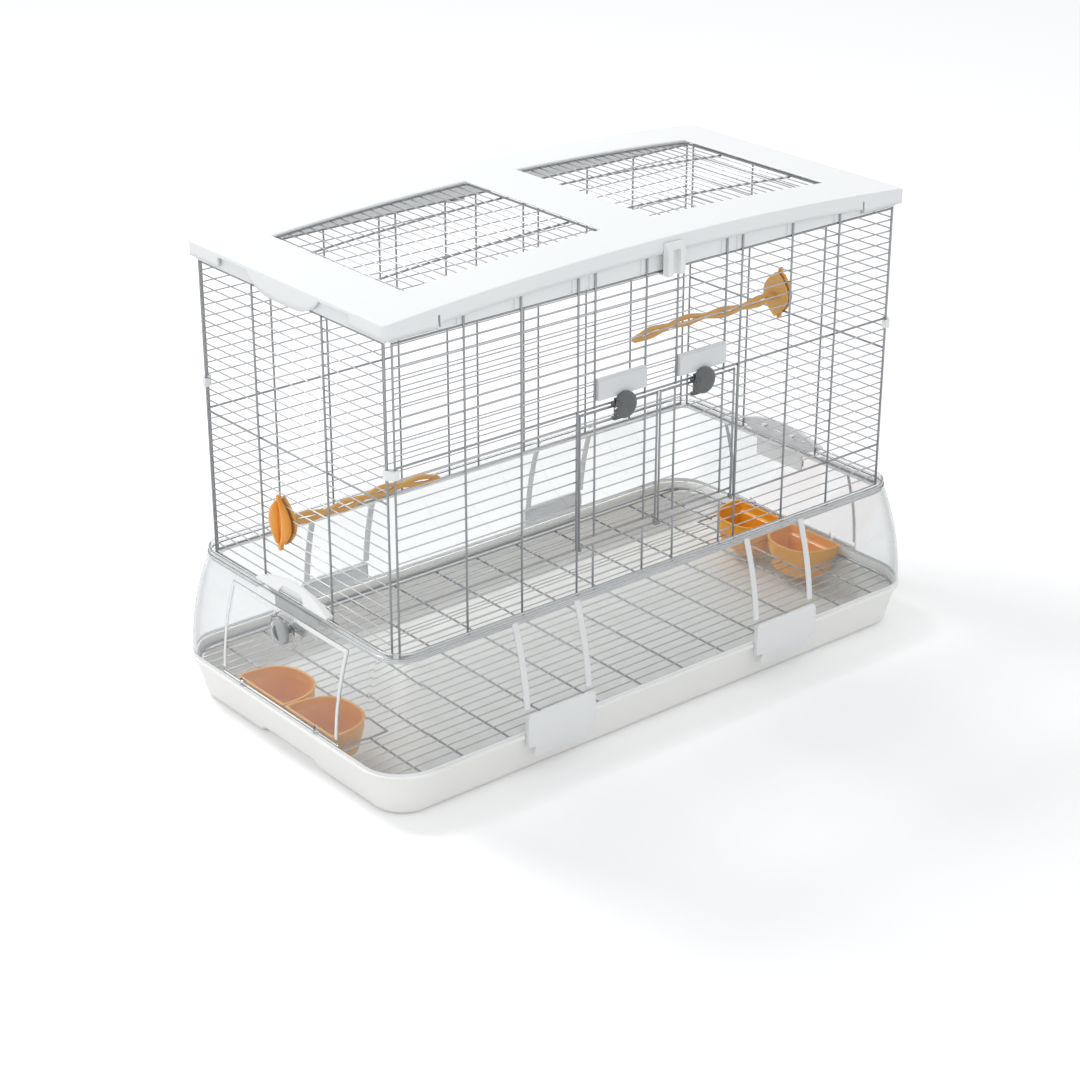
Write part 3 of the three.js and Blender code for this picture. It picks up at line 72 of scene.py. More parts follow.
@dataclass(frozen=True)
class CageSizes:
    """Sizes that more than one sub-assembly is set out from."""

    tray_half: Span = (390.0, 208.5)
    straight: Span = (318.0, 140.0)  # half lengths that no corner reaches
    heavy: float = 1.2
    fine: float = 0.75
    jamb: float = 0.8
    stub: float = 0.6  # how far a wire's end passes the wire that it is welded to
    weld: float = 0.05  # how far crossing wires lie in each other
    row_foot: float = 175.0
    row_pitch: float = 13.0
    row_count: int = 26
    front_plane: float = 170.0
    side_plane: float = 353.4
    front_half: float = 347.9
    side_half: float = 164.5
    sill_row: int = 4
    head_row: int = 16
    mid_row: int = 13
    door_at: float = 56.2
    clip_at: float = 167.0
    guard_foot: float = 53.8
    guard_height: float = 122.2
    guard_inset: float = 3.0
    guard_lean: float = 22.0
    guard_corner: Span = (47.0, 30.0)
    uprights: tuple[float, ...] = (22.0, 92.0, 114.7, 189.5, 262.0)
    side_uprights: tuple[float, ...] = (-62.5, 62.5)

    @property
    def guard_head(self) -> float:
        """Where the guard's curved wall ends and its lip starts."""
        return self.guard_foot + self.guard_height

    @property
    def upright_plane(self) -> float:
        """Where the uprights' middle lies, with the fine rows' middle at 0."""
        return 0.08 - self.fine - self.heavy

    def row(self, index: float) -> float:
        """Height of a wall row, counted from the bottom rail."""
        return self.row_foot + self.row_pitch * index

    def guard_half(self, z: Array) -> tuple[Array, Array, Array]:
        """Half length, half width and corner radius of the guard's outer face at a height.

        The wall leans in with the square of the height's share.
        """
        share = np.clip((np.asarray(z, float) - self.guard_foot) / self.guard_height, 0, 1) ** 2
        inset = self.guard_inset + self.guard_lean * share
        foot, head = self.guard_corner
        return self.tray_half[0] - inset, self.tray_half[1] - inset, foot - (foot - head) * share


SIZES = CageSizes()


class Slot(Enum):
    """The record's material slots."""

    TRAY = "tray_plastic"
    CLEAR = "clear_plastic"
    WIRE = "wire_steel"
    ROOF = "roof_plastic"
    LATCH = "latch_plastic"
    CUP = "cup_plastic"
    PERCH = "perch_plastic"


class Turn(Enum):
    """Quarter turns about the upright axis, as cosine and sine, for a piece drawn facing the front."""

    FRONT = (1, 0)
    RIGHT = (0, 1)
    BACK = (-1, 0)
    LEFT = (0, -1)


@dataclass(frozen=True)
class Place:
    """A local frame: turned by quarter turns about +Z, then moved."""

    x: float = 0.0
    y: float = 0.0
    z: float = 0.0
    turn: Turn = Turn.FRONT

    def __call__(self, points: Array) -> Array:
        """Local points (..., 3) in the cage's frame."""
        cos, sin = self.turn.value
        p = np.asarray(points, float)
        x = p[..., 0] * cos - p[..., 1] * sin + self.x
        y = p[..., 0] * sin + p[..., 1] * cos + self.y
        return np.stack([x, y, p[..., 2] + self.z], axis=-1)


# Outlines


def circle(radius: float, count: int) -> Array:
    """Points (count, 2) round a circle."""
    angle = np.arange(count) * 2 * np.pi / count
    return radius * np.column_stack([np.cos(angle), np.sin(angle)])


def arc(radius: float, start: float, stop: float, count: int) -> Array:
    """Points (count, 2) of an arc between two angles in degrees, both ends included."""
    angle = np.radians(np.linspace(start, stop, count))
    return radius * np.column_stack([np.cos(angle), np.sin(angle)])


def smooth(value: Array, low: float, high: float) -> Array:
    """0 below low, 1 above high, and a smooth cubic rise between them."""
    t = np.clip((value - low) / (high - low), 0, 1)
    return t * t * (3 - 2 * t)


def mirrored(values: Sequence[float]) -> Array:
    """Values and their negatives in rising order, each once."""
    return np.unique(np.round(np.concatenate([np.negative(values), values]), 3))


def columns(limit: float, step: float, *marks: float, gap: float = 0.3) -> Array:
    """Columns from -limit to limit.

    Args:
        limit: the last column.
        step: about how far apart they are.
        marks: places that get a pair of columns, as do their mirrors.
        gap: how far each column of a pair lies from its mark.
    """
    count = max(2, int(round(2 * limit / step)) + 1)
    pairs = [mark + way * gap for mark in marks for way in WAYS]
    lines = np.unique(np.round([*np.linspace(-limit, limit, count), *pairs, *np.negative(pairs)], 3))
    return lines[np.abs(lines) <= limit]


def centres(grid: Array) -> Array:
    """The middle of each face of a grid, from the two corners of one diagonal."""
    return (grid[1:, 1:] + grid[:-1, :-1]) / 2


def levelled(x: Array, y: Array, z: Array) -> Array:
    """A grid (rows, columns, 3) from x, y and one height for each row, spread to one shape."""
    parts = (np.asarray(x), np.asarray(y), np.reshape(z, (-1, 1)))
    return np.stack(np.broadcast_arrays(*parts), axis=-1)


def box_ring(
    half_x: Array, half_y: Array, radius: Array, xs: Array, ys: Array, steps: int
) -> Array:
    """Rounded rectangles with the same columns on every level.

    Args:
        half_x, half_y, radius: (levels,) sizes of each level.
        xs: columns on the long sides, ascending and symmetric.
        ys: columns on the short sides.
        steps: facets of a corner.

    Returns:
        (levels, columns, 4): x, y and the outward direction.

    A side's points lie on its line at the given columns. A corner's points are its centre plus the
    radius times the cosine and sine of angles in equal steps.
    """
    hx, hy, r = (np.asarray(v, float).reshape(-1, 1) for v in (half_x, half_y, radius))
    runs = []
    for quarter, turn in enumerate(Turn):
        cols = (ys, xs[::-1], ys[::-1], xs)[quarter]
        nx, ny = turn.value
        side = (nx * hx if nx else cols, ny * hy if ny else cols, nx, ny)
        cos, sin = arc(1.0, 90 * quarter, 90 * (quarter + 1), steps + 1).T
        sx, sy = ((1, 1), (-1, 1), (-1, -1), (1, -1))[quarter]
        corner = (sx * (hx - r) + r * cos, sy * (hy - r) + r * sin, cos, sin)
        for run, count in ((side, len(cols)), (corner, steps + 1)):
            runs.append(np.stack([np.broadcast_to(v, (len(hx), count)) for v in run], axis=-1))
    return np.concatenate(runs, axis=1)


def raised(
    start: float, stop: float, ease: float, root: float, flank: float, proud: float
) -> tuple[Array, Array]:
    """The section of a strip that stands on a face.

    Args:
        start, stop: its two edges across.
        ease: how far in from an edge its front starts.
        root: how deep its back lies in the face.
        flank: how far its edges stand out.
        proud: how far its front stands out.

    Returns:
        Six places across, and how far each stands out.
    """
    step = math.copysign(ease, stop - start)
    across = np.array([start, start, start + step, stop - step, stop, stop])
    return across, np.array([-root, flank, proud, proud, flank, -root])


# Meshes


def link_mesh(name: str, mesh: Mesh) -> Piece:
    """A new object at the origin that shows a mesh."""
    obj = bpy.data.objects.new(name, mesh)
    bpy.context.scene.collection.objects.link(obj)
    return obj


def soften(mesh: Mesh, sharp: float) -> None:
    """Shades a mesh smooth, apart from edges sharper than an angle in degrees."""
    mesh.shade_smooth()
    mesh.set_sharp_from_angle(angle=math.radians(sharp))


def merge_doubles(mesh: Mesh, distance: float = SAME_POINT) -> None:
    """Joins points that coincide and turns the faces outwards."""
    work = bmesh.new()
    work.from_mesh(mesh)
    bmesh.ops.remove_doubles(work, verts=work.verts, dist=distance * MM)
    bmesh.ops.recalc_face_normals(work, faces=work.faces)
    work.to_mesh(mesh)
    work.free()


def bevel(obj: Piece, width: float, segments: int = 2, angle: float = 35.0) -> None:
    """Rounds an object's edges by width millimetres where they are sharper than an angle."""
    mod = obj.modifiers.new("eased edges", "BEVEL")
    mod.width = width * MM
    mod.segments = segments
    mod.limit_method = "ANGLE"
    mod.angle_limit = math.radians(angle)
    mod.harden_normals = True


def solidify(obj: Piece, thickness: float) -> None:
    """Gives a sheet its wall, inwards from its face."""
    mod = obj.modifiers.new("wall", "SOLIDIFY")
    mod.thickness = thickness * MM
    mod.offset = -1.0
    mod.use_even_offset = True


def eased_copy(node: str, name: str, width: float) -> Piece:
    """A merged copy of a CAD node with its edges rounded by width millimetres."""
    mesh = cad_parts[node].data.copy()
    mesh.name = name
    mesh.materials.clear()
    work = bmesh.new()
    work.from_mesh(mesh)
    bmesh.ops.remove_doubles(work, verts=work.verts, dist=2 * SAME_POINT * MM)
    bmesh.ops.dissolve_limit(work, angle_limit=math.radians(1.0), verts=work.verts, edges=work.edges)
    work.to_mesh(mesh)
    work.free()
    soften(mesh, 32)
    obj = link_mesh(name, mesh)
    bevel(obj, width)
    return obj


class Shell:
    """Gathers grids, tubes and prisms and makes one mesh of them."""

    def __init__(self) -> None:
        """Starts empty."""
        self.points: list[Array] = []
        self.faces: list[tuple[int, ...]] = []
        self.count = 0

    def add(self, points: Array, faces: Iterable[Sequence[int]]) -> "Shell":
        """Adds points (n, 3) and faces that count from them."""
        first = self.count
        self.points.append(np.asarray(points, float).reshape(-1, 3))
        self.faces.extend(tuple(int(i) + first for i in f) for f in faces)
        self.count += len(self.points[-1])
        return self

    def grid(
        self,
        points: Array,
        around: bool = False,
        along: bool = False,
        caps: bool = False,
        keep: Optional[Array] = None,
    ) -> "Shell":
        """Adds a grid.

        Args:
            points: (rows, columns, 3). Faces point the way that the step from column to column
                crosses the step from row to row.
            around: the last column joins the first.
            along: the last row joins the first.
            caps: the first and last rows are closed with one face each.
            keep: a mask (faces down, faces across) of the faces that are made.
        """
        rows, across = points.shape[:2]
        down, over = (rows if along else rows - 1), (across if around else across - 1)
        row, col = np.meshgrid(np.arange(down), np.arange(over), indexing="ij")
        low, high = row * across, (row + 1) % rows * across
        after = (col + 1) % across
        quads = np.stack([low + col, low + after, high + after, high + col], axis=-1)
        if keep is not None:
            quads = quads[keep]
        faces: list[Sequence[int]] = list(quads.reshape(-1, 4))
        if caps:
            faces.append(range(across)[::-1])
            faces.append(range((rows - 1) * across, rows * across))
        return self.add(points, faces)

    def wire(self, start: Point, stop: Point, radius: float, sides: int = 10) -> "Shell":
        """Adds a straight round wire, drawn in at its ends."""
        start, way = np.asarray(start, float), np.subtract(stop, start)
        ease = radius * 0.35 / np.linalg.norm(way)
        path = start + np.outer([0, ease, 1 - ease, 1], way)
        return self.tube(path, radius * np.array([0.72, 1.0, 1.0, 0.72]), sides)

    def tube(self, path: Array, radius: Array, sides: int = 10, closed: bool = False) -> "Shell":
        """Adds a round tube along a curve.

        Args:
            path: (n, 3) points of the curve.
            radius: (n,) or one number.
            sides: facets round the tube.
            closed: the curve joins its own start.

        Each ring lies square to the curve, on directions carried along from the ring before it.
        """
        path = np.asarray(path, float)
        radius = np.broadcast_to(np.asarray(radius, float), (len(path),))
        way = np.roll(path, -1, 0) - np.roll(path, 1, 0) if closed else np.gradient(path, axis=0)
        way /= np.linalg.norm(way, axis=1, keepdims=True)
        helper = np.array([0, 0, 1.0]) if abs(way[0, 2]) < 0.9 else np.array([1.0, 0, 0])
        side = np.empty_like(path)
        side[0] = np.cross(way[0], helper)
        for i in range(1, len(path)):
            side[i] = side[i - 1] - way[i] * side[i - 1].dot(way[i])
            side[i] /= np.linalg.norm(side[i])
        side[0] /= np.linalg.norm(side[0])
        up = np.cross(way, side)
        cos, sin = circle(1.0, sides).T[:, None, :, None] * radius[:, None, None]
        ring = path[:, None] + side[:, None] * cos + up[:, None] * sin
        return self.grid(ring[:, ::-1], around=True, along=closed, caps=not closed)

    def prism(self, outline: Array, low: float, high: float, axis: str) -> "Shell":
        """Adds an outline pushed along an axis: x takes (y, z), y takes (x, z), z takes (x, y)."""
        flat = np.asarray(outline, float)
        x, y = flat.T
        turns_left = np.sum(x * np.roll(y, -1) - np.roll(x, -1) * y) > 0
        flat = flat if turns_left else flat[::-1]
        order = {"x": (2, 0, 1), "y": (0, 2, 1), "z": (0, 1, 2)}[axis]
        levels = (high, low) if axis == "y" else (low, high)
        rows = [np.column_stack([flat, np.full(len(flat), level)])[:, order] for level in levels]
        return self.grid(np.stack(rows), around=True, caps=True)

    def moved(self, place: Placing) -> "Shell":
        """Moves all that was added so far."""
        self.points = [place(p) for p in self.points]
        return self

    def join(self, other: "Shell") -> "Shell":
        """Adds all of another shell."""
        return self.add(np.concatenate(other.points), other.faces)

    def make(self, name: str, sharp: float = 40.0, merge: float = 0.0) -> Piece:
        """Makes the object.

        Args:
            name: the object's name.
            sharp: edges sharper than this, in degrees, stay crisp.
            merge: points closer than this, in millimetres, become one.

        Returns:
            An object at the origin with its place in its mesh, in metres.
        """
        mesh = bpy.data.meshes.new(name)
        mesh.from_pydata(np.concatenate(self.points) * MM, [], self.faces)
        if merge:
            merge_doubles(mesh, merge)
        mesh.validate()
        soften(mesh, sharp)
        return link_mesh(name, mesh)


class WirePair:
    """A piece's heavy wires and its fine ones."""

    def __init__(self, least: float) -> None:
        """Starts empty; wires at or over the least radius are heavy."""
        self.least = least
        self.heavy, self.fine = Shell(), Shell()

    def add(self, start: Point, stop: Point, radius: float) -> None:
        """Adds a wire between two points to the one or the other."""
        (self.heavy if radius >= self.least else self.fine).wire(start, stop, radius)

    def make(self, name: str, place: Placing) -> Pair:
        """Makes both objects."""
        heavy, fine = self.heavy.moved(place), self.fine.moved(place)
        return heavy.make(name, sharp=60), fine.make(f"{name}_fine", sharp=60)


# Finishes


class Graph:
    """A small helper round a node tree."""

    def __init__(self, tree: bpy.types.NodeTree) -> None:
        """Keeps the tree."""
        self.tree = tree

    def put(self, value: object, socket: Socket) -> None:
        """Feeds a socket with another socket, a colour or a value."""
        if isinstance(value, Socket):
            self.tree.links.new(value, socket)
        else:
            socket.default_value = (*value, 1) if socket.type == "RGBA" else value

    def feed(self, node: Node, **values: object) -> Node:
        """Sets a node's attributes and feeds its input sockets by name, with _ for a space."""
        for key, value in values.items():
            if hasattr(node, key):
                setattr(node, key, value)
            else:
                label = key.replace("_", " ")
                self.put(value, next(s for s in node.inputs if s.name == label))
        return node

    def node(self, kind: str, **values: object) -> Node:
        """A new node of a type, fed with values."""
        return self.feed(self.tree.nodes.new(kind), **values)

    def math(self, operation: str, first: object, second: object) -> Socket:
        """A math node's output on two sockets or numbers."""
        made = self.node("ShaderNodeMath", operation=operation)
        self.put(first, made.inputs[0])
        self.put(second, made.inputs[1])
        return made.outputs[0]

    def colours(self, share: Socket, first: object, second: object) -> Socket:
        """A colour mix's output, from the first colour or socket to the second."""
        made = self.node("ShaderNodeMix", data_type="RGBA")
        self.put(share, made.inputs[0])
        for socket, value in zip((s for s in made.inputs if s.type == "RGBA"), (first, second)):
            self.put(value, socket)
        return next(s for s in made.outputs if s.type == "RGBA")

    def shaders(
        self, share: Socket, first: Socket, second: Socket
    ) -> Socket:
        """A shader mix's output."""
        made = self.node("ShaderNodeMixShader")
        for socket, value in zip(made.inputs, (share, first, second)):
            self.put(value, socket)
        return made.outputs[0]

    def seen(self, *rays: str) -> Socket:
        """1 where a ray is of one of some kinds."""
        path = self.node("ShaderNodeLightPath")
        found = path.outputs[f"Is {rays[0]} Ray"]
        for ray in rays[1:]:
            found = self.math("MAXIMUM", found, path.outputs[f"Is {ray} Ray"])
        return found


class Effect(Enum):
    """Shader groups that every finish shares."""

    MOULDED = "moulded surface"
    HANDLED = "dust and handling"


def moulded(g: Graph, start: Node, end: Node) -> None:
    """Fine spark-eroded grain over slow flow marks."""
    place = g.node("ShaderNodeTexCoord")
    grain = g.node("ShaderNodeTexNoise", Detail=3.0, Roughness=0.6)
    flow = g.node("ShaderNodeTexNoise", Detail=4.0, Roughness=0.5)
    for noise, scale in ((grain, "Grain Scale"), (flow, "Flow Scale")):
        g.feed(noise, Vector=place.outputs["Object"], Scale=start.outputs[scale])
    share = start.outputs["Flow Share"]
    slow = g.math("MULTIPLY", flow.outputs["Fac"], share)
    quick = g.math("MULTIPLY", grain.outputs["Fac"], g.math("SUBTRACT", 1.0, share))
    g.feed(end, Height=g.math("ADD", slow, quick), Mask=flow.outputs["Fac"])


def handled(g: Graph, start: Node, end: Node) -> None:
    """Dust that settles on upward faces, and faint wipe marks."""
    place = g.node("ShaderNodeTexCoord").outputs["Object"]
    shape = g.node("ShaderNodeNewGeometry")
    split = g.node("ShaderNodeSeparateXYZ", Vector=shape.outputs["Normal"])
    patch = g.node("ShaderNodeTexNoise", Vector=place, Scale=60.0, Detail=5.0, Roughness=0.7)
    upward = g.math("MAXIMUM", split.outputs["Z"], 0.0)
    lying = g.math("MULTIPLY", g.math("MULTIPLY", upward, patch.outputs["Fac"]), start.outputs["Dust"])
    stretch = g.node("ShaderNodeMapping", Vector=place, Scale=(9.0, 9.0, 55.0))
    wipe = g.node(
        "ShaderNodeTexNoise", Vector=stretch.outputs["Vector"], Scale=1.0, Detail=6.0, Roughness=0.65
    )
    smear = g.math("MULTIPLY", wipe.outputs["Fac"], start.outputs["Wipe"])
    g.feed(end, Settled=lying, Smear=smear)


def shader_group(
    effect: Effect,
    inputs: dict[str, float],
    outputs: Sequence[str],
    fill: Callable[[Graph, Node, Node], None],
) -> bpy.types.NodeTree:
    """An effect's shader group, made once.

    Args:
        effect: which one.
        inputs: its inputs with their values.
        outputs: its outputs, all numbers.
        fill: makes its nodes between its input and its output node.
    """
    found = bpy.data.node_groups.get(effect.value)
    if found:
        return found
    tree = bpy.data.node_groups.new(effect.value, "ShaderNodeTree")
    for name, value in inputs.items():
        socket = tree.interface.new_socket(name=name, in_out="INPUT", socket_type="NodeSocketFloat")
        socket.default_value = value
    for name in outputs:
        tree.interface.new_socket(name=name, in_out="OUTPUT", socket_type="NodeSocketFloat")
    g = Graph(tree)
    fill(g, g.node("NodeGroupInput"), g.node("NodeGroupOutput"))
    return tree


def moulded_group() -> bpy.types.NodeTree:
    """The moulded surface: Height for a bump and Mask for colour and gloss."""
    inputs = {"Grain Scale": 900.0, "Flow Scale": 14.0, "Flow Share": 0.4}
    return shader_group(Effect.MOULDED, inputs, ("Height", "Mask"), moulded)


def handled_group() -> bpy.types.NodeTree:
    """The traces of use: Settled, where dust lies, and Smear, the wipe marks."""
    return shader_group(Effect.HANDLED, {"Dust": 0.1, "Wipe": 0.3}, ("Settled", "Smear"), handled)


def new_material(name: str) -> tuple[bpy.types.Material, Graph, Node]:
    """A material with nothing but its output node, and the graph to build it with."""
    made = bpy.data.materials.new(name)
    made.use_nodes = True
    made.node_tree.nodes.clear()
    g = Graph(made.node_tree)
    return made, g, g.node("ShaderNodeOutputMaterial")


@dataclass(frozen=True)
class Finish:
    """One finish: its colours, gloss, relief and what passes through it."""

    name: str
    light: Colour
    deep: Colour
    roughness: float = 0.4
    spread: float = 0.12
    smear: float = 0.2
    metallic: float = 0.0
    transmission: float = 0.0
    ior: float = 1.49
    subsurface: float = 0.0
    glow: Colour = (0.004, 0.004, 0.003)
    coat: float = 0.0
    specular: float = 0.5
    grain_scale: float = 900.0
    flow_scale: float = 14.0
    flow_share: float = 0.4
    bump: float = 0.08
    bump_depth: float = 0.00005
    dust: float = 0.08
    wipe: float = 0.25
    dust_colour: Colour = (0.72, 0.70, 0.66)
    # painted shade: an edge colour is mixed in where a face is seen at a slant, the blend below setting
    # how far in it reaches
    edge: Optional[Colour] = None
    grazing_shade_blend: float = 0.3
    shadow: Colour = (0.985, 0.988, 0.99)

    def material(self) -> bpy.types.Material:
        """The material, made once. A clear one lets the lamps' light through to what stands behind; an
        edge colour is painted shade at grazing angles.
        """
        found = bpy.data.materials.get(self.name)
        if found:
            return found
        made, g, out = new_material(self.name)
        shader = g.node("ShaderNodeBsdfPrincipled")
        surface = g.node(
            "ShaderNodeGroup",
            node_tree=moulded_group(),
            Grain_Scale=self.grain_scale,
            Flow_Scale=self.flow_scale,
            Flow_Share=self.flow_share,
        )
        use = g.node("ShaderNodeGroup", node_tree=handled_group(), Dust=self.dust, Wipe=self.wipe)
        mask = surface.outputs["Mask"]
        mixed = g.colours(mask, self.deep, self.light)
        shade = g.colours(use.outputs["Settled"], mixed, self.dust_colour)
        # painted shade: towards the edge colour as the face turns away from the eye
        if self.edge:
            painted_grazing_shade = g.node("ShaderNodeLayerWeight", Blend=self.grazing_shade_blend)
            shade = g.colours(painted_grazing_shade.outputs["Facing"], shade, self.edge)
        vary = g.math("MULTIPLY", g.math("SUBTRACT", mask, 0.5), self.spread * 2)
        smear = g.math("MULTIPLY", use.outputs["Smear"], self.smear)
        gloss = g.math("ADD", g.math("ADD", vary, self.roughness), smear)
        relief = g.node("ShaderNodeBump", Strength=self.bump, Distance=self.bump_depth)
        g.feed(relief, Height=surface.outputs["Height"])
        g.feed(
            shader,
            Base_Color=shade,
            Roughness=gloss,
            Normal=relief.outputs["Normal"],
            Metallic=self.metallic,
            Transmission_Weight=self.transmission,
            IOR=self.ior,
            Specular_IOR_Level=self.specular,
            Coat_Weight=self.coat,
            Subsurface_Weight=self.subsurface,
            Subsurface_Radius=self.glow,
        )
        shown = shader.outputs[0]
        if self.transmission:
            ray = g.seen("Shadow")
            free = g.node("ShaderNodeBsdfTransparent", Color=self.shadow)
            shown = g.shaders(ray, shown, free.outputs[0])
        g.put(shown, out.inputs["Surface"])
        return made


WIRE = Finish(
    "coated wire", (0.40, 0.41, 0.43), (0.29, 0.30, 0.32), roughness=0.33, metallic=0.85,
    grain_scale=1600, flow_scale=45, flow_share=0.3, bump=0.2, bump_depth=0.00004, dust=0.1, wipe=0.4,
)
FINE_WIRE = replace(
    WIRE, name="fine wire", light=(0.60, 0.61, 0.63), deep=(0.46, 0.47, 0.49), roughness=0.3
)
IVORY = Finish(
    "ivory tray", (0.90, 0.895, 0.87), (0.86, 0.86, 0.83), roughness=0.34, spread=0.08, subsurface=0.12,
    grain_scale=700, flow_scale=8, bump=0.12, dust=0.04, coat=0.1,
)
CLIP_WHITE = Finish(
    "clip white", (0.88, 0.89, 0.89), (0.83, 0.84, 0.84), roughness=0.3, spread=0.08, subsurface=0.06,
    grain_scale=1100, flow_scale=20, bump=0.1, dust=0.04, coat=0.15,
)
ROOF_WHITE = Finish(
    "roof white", (0.86, 0.87, 0.875), (0.825, 0.84, 0.848), roughness=0.38, spread=0.1, subsurface=0.04,
    grain_scale=850, flow_scale=7, bump=0.18, dust=0.04,
)
KEEPER_WHITE = Finish(
    "keeper grey white", (0.76, 0.78, 0.79), (0.66, 0.68, 0.70), roughness=0.28, spread=0.08,
    grain_scale=1100, flow_scale=25, bump=0.12, dust=0.05, coat=0.15,
)
# the clear wall's edge grey is painted shade at grazing angles
CLEAR = Finish(
    "clear wall", (0.985, 0.99, 0.99), (0.97, 0.98, 0.98), roughness=0.03, spread=0.02, transmission=1.0,
    grain_scale=300, flow_scale=6, flow_share=0.95, bump=0.05, bump_depth=0.0002, dust=0.0, wipe=0.1,
    edge=(0.36, 0.40, 0.43),
)
# real frosted plastic on the base clips; on the clear shelf, ribs, foot band and flap frames its
# whiteness is painted reflection
FROSTED_AND_SHEEN = Finish(
    "frosted clear and painted sheen", (0.95, 0.955, 0.96), (0.92, 0.93, 0.94), roughness=0.3, spread=0.06,
    transmission=0.22, ior=1.46, flow_scale=12, bump=0.06, dust=0.02, wipe=0.2,
)
KNOB_GREY = Finish(
    "knob grey", (0.115, 0.125, 0.135), (0.08, 0.09, 0.10), roughness=0.24, spread=0.08,
    grain_scale=1300, flow_scale=30, bump=0.1, dust=0.05, coat=0.4,
)
# a lighter copy of the knob grey for the flap knobs' ring: painted reflection, with the well's floor kept
# dark as painted shade
SHEEN_RING_GREY = replace(
    KNOB_GREY, name="ring grey with painted sheen", light=(0.40, 0.41, 0.42), deep=(0.32, 0.33, 0.34), roughness=0.22
)
ORANGE = Finish(
    "cup orange", (0.86, 0.36, 0.035), (0.79, 0.28, 0.018), roughness=0.33, spread=0.1, subsurface=0.12,
    flow_scale=16, bump=0.14, dust=0.04, coat=0.12,
)
CUP_AMBER = Finish(
    "cup amber", (0.93, 0.43, 0.03), (0.86, 0.35, 0.015), roughness=0.3, spread=0.1, subsurface=0.1,
    grain_scale=800, flow_scale=16, bump=0.1, dust=0.04, wipe=0.4, coat=0.2,
)
GOLDEN = Finish(
    "perch golden", (0.80, 0.47, 0.16), (0.66, 0.34, 0.09), roughness=0.42, subsurface=0.08,
    grain_scale=520, flow_scale=60, flow_share=0.55, bump=0.4, bump_depth=0.0002, dust=0.06,
)


# Tray


TRAY_OUTER_LEVELS = (9.2, 10.2, 11.0, 11.8, 12.6, 13.4, 14.4, 16.0, 20.0, 30.0, 40.0, 46.5)
TRAY_INNER_LEVELS = (30.0, 20.0, 17.0, 15.8, 14.6, 13.4, 12.0, 9.5)
TRAY_RIM = (  # height and inset, over the rolled rim
    (47.8, 4.0), (48.4, 3.4), (48.5, 2.2), (48.7, 0.9), (49.3, 0.2), (50.2, 0.0), (52.2, 0.0),
    (53.0, 0.35), (53.5, 1.3), (53.5, 5.4), (53.2, 6.2), (52.4, 6.5),
)
TRAY_LEDGE = (  # height and inset, round the ledge that the floor grille lies on
    (44.6, 6.5), (43.8, 6.8), (43.7, 7.6), (43.7, 13.3), (43.3, 13.9), (42.1, 13.9),
    (41.7, 13.4), (41.7, 8.8), (40.5, 8.6),
)


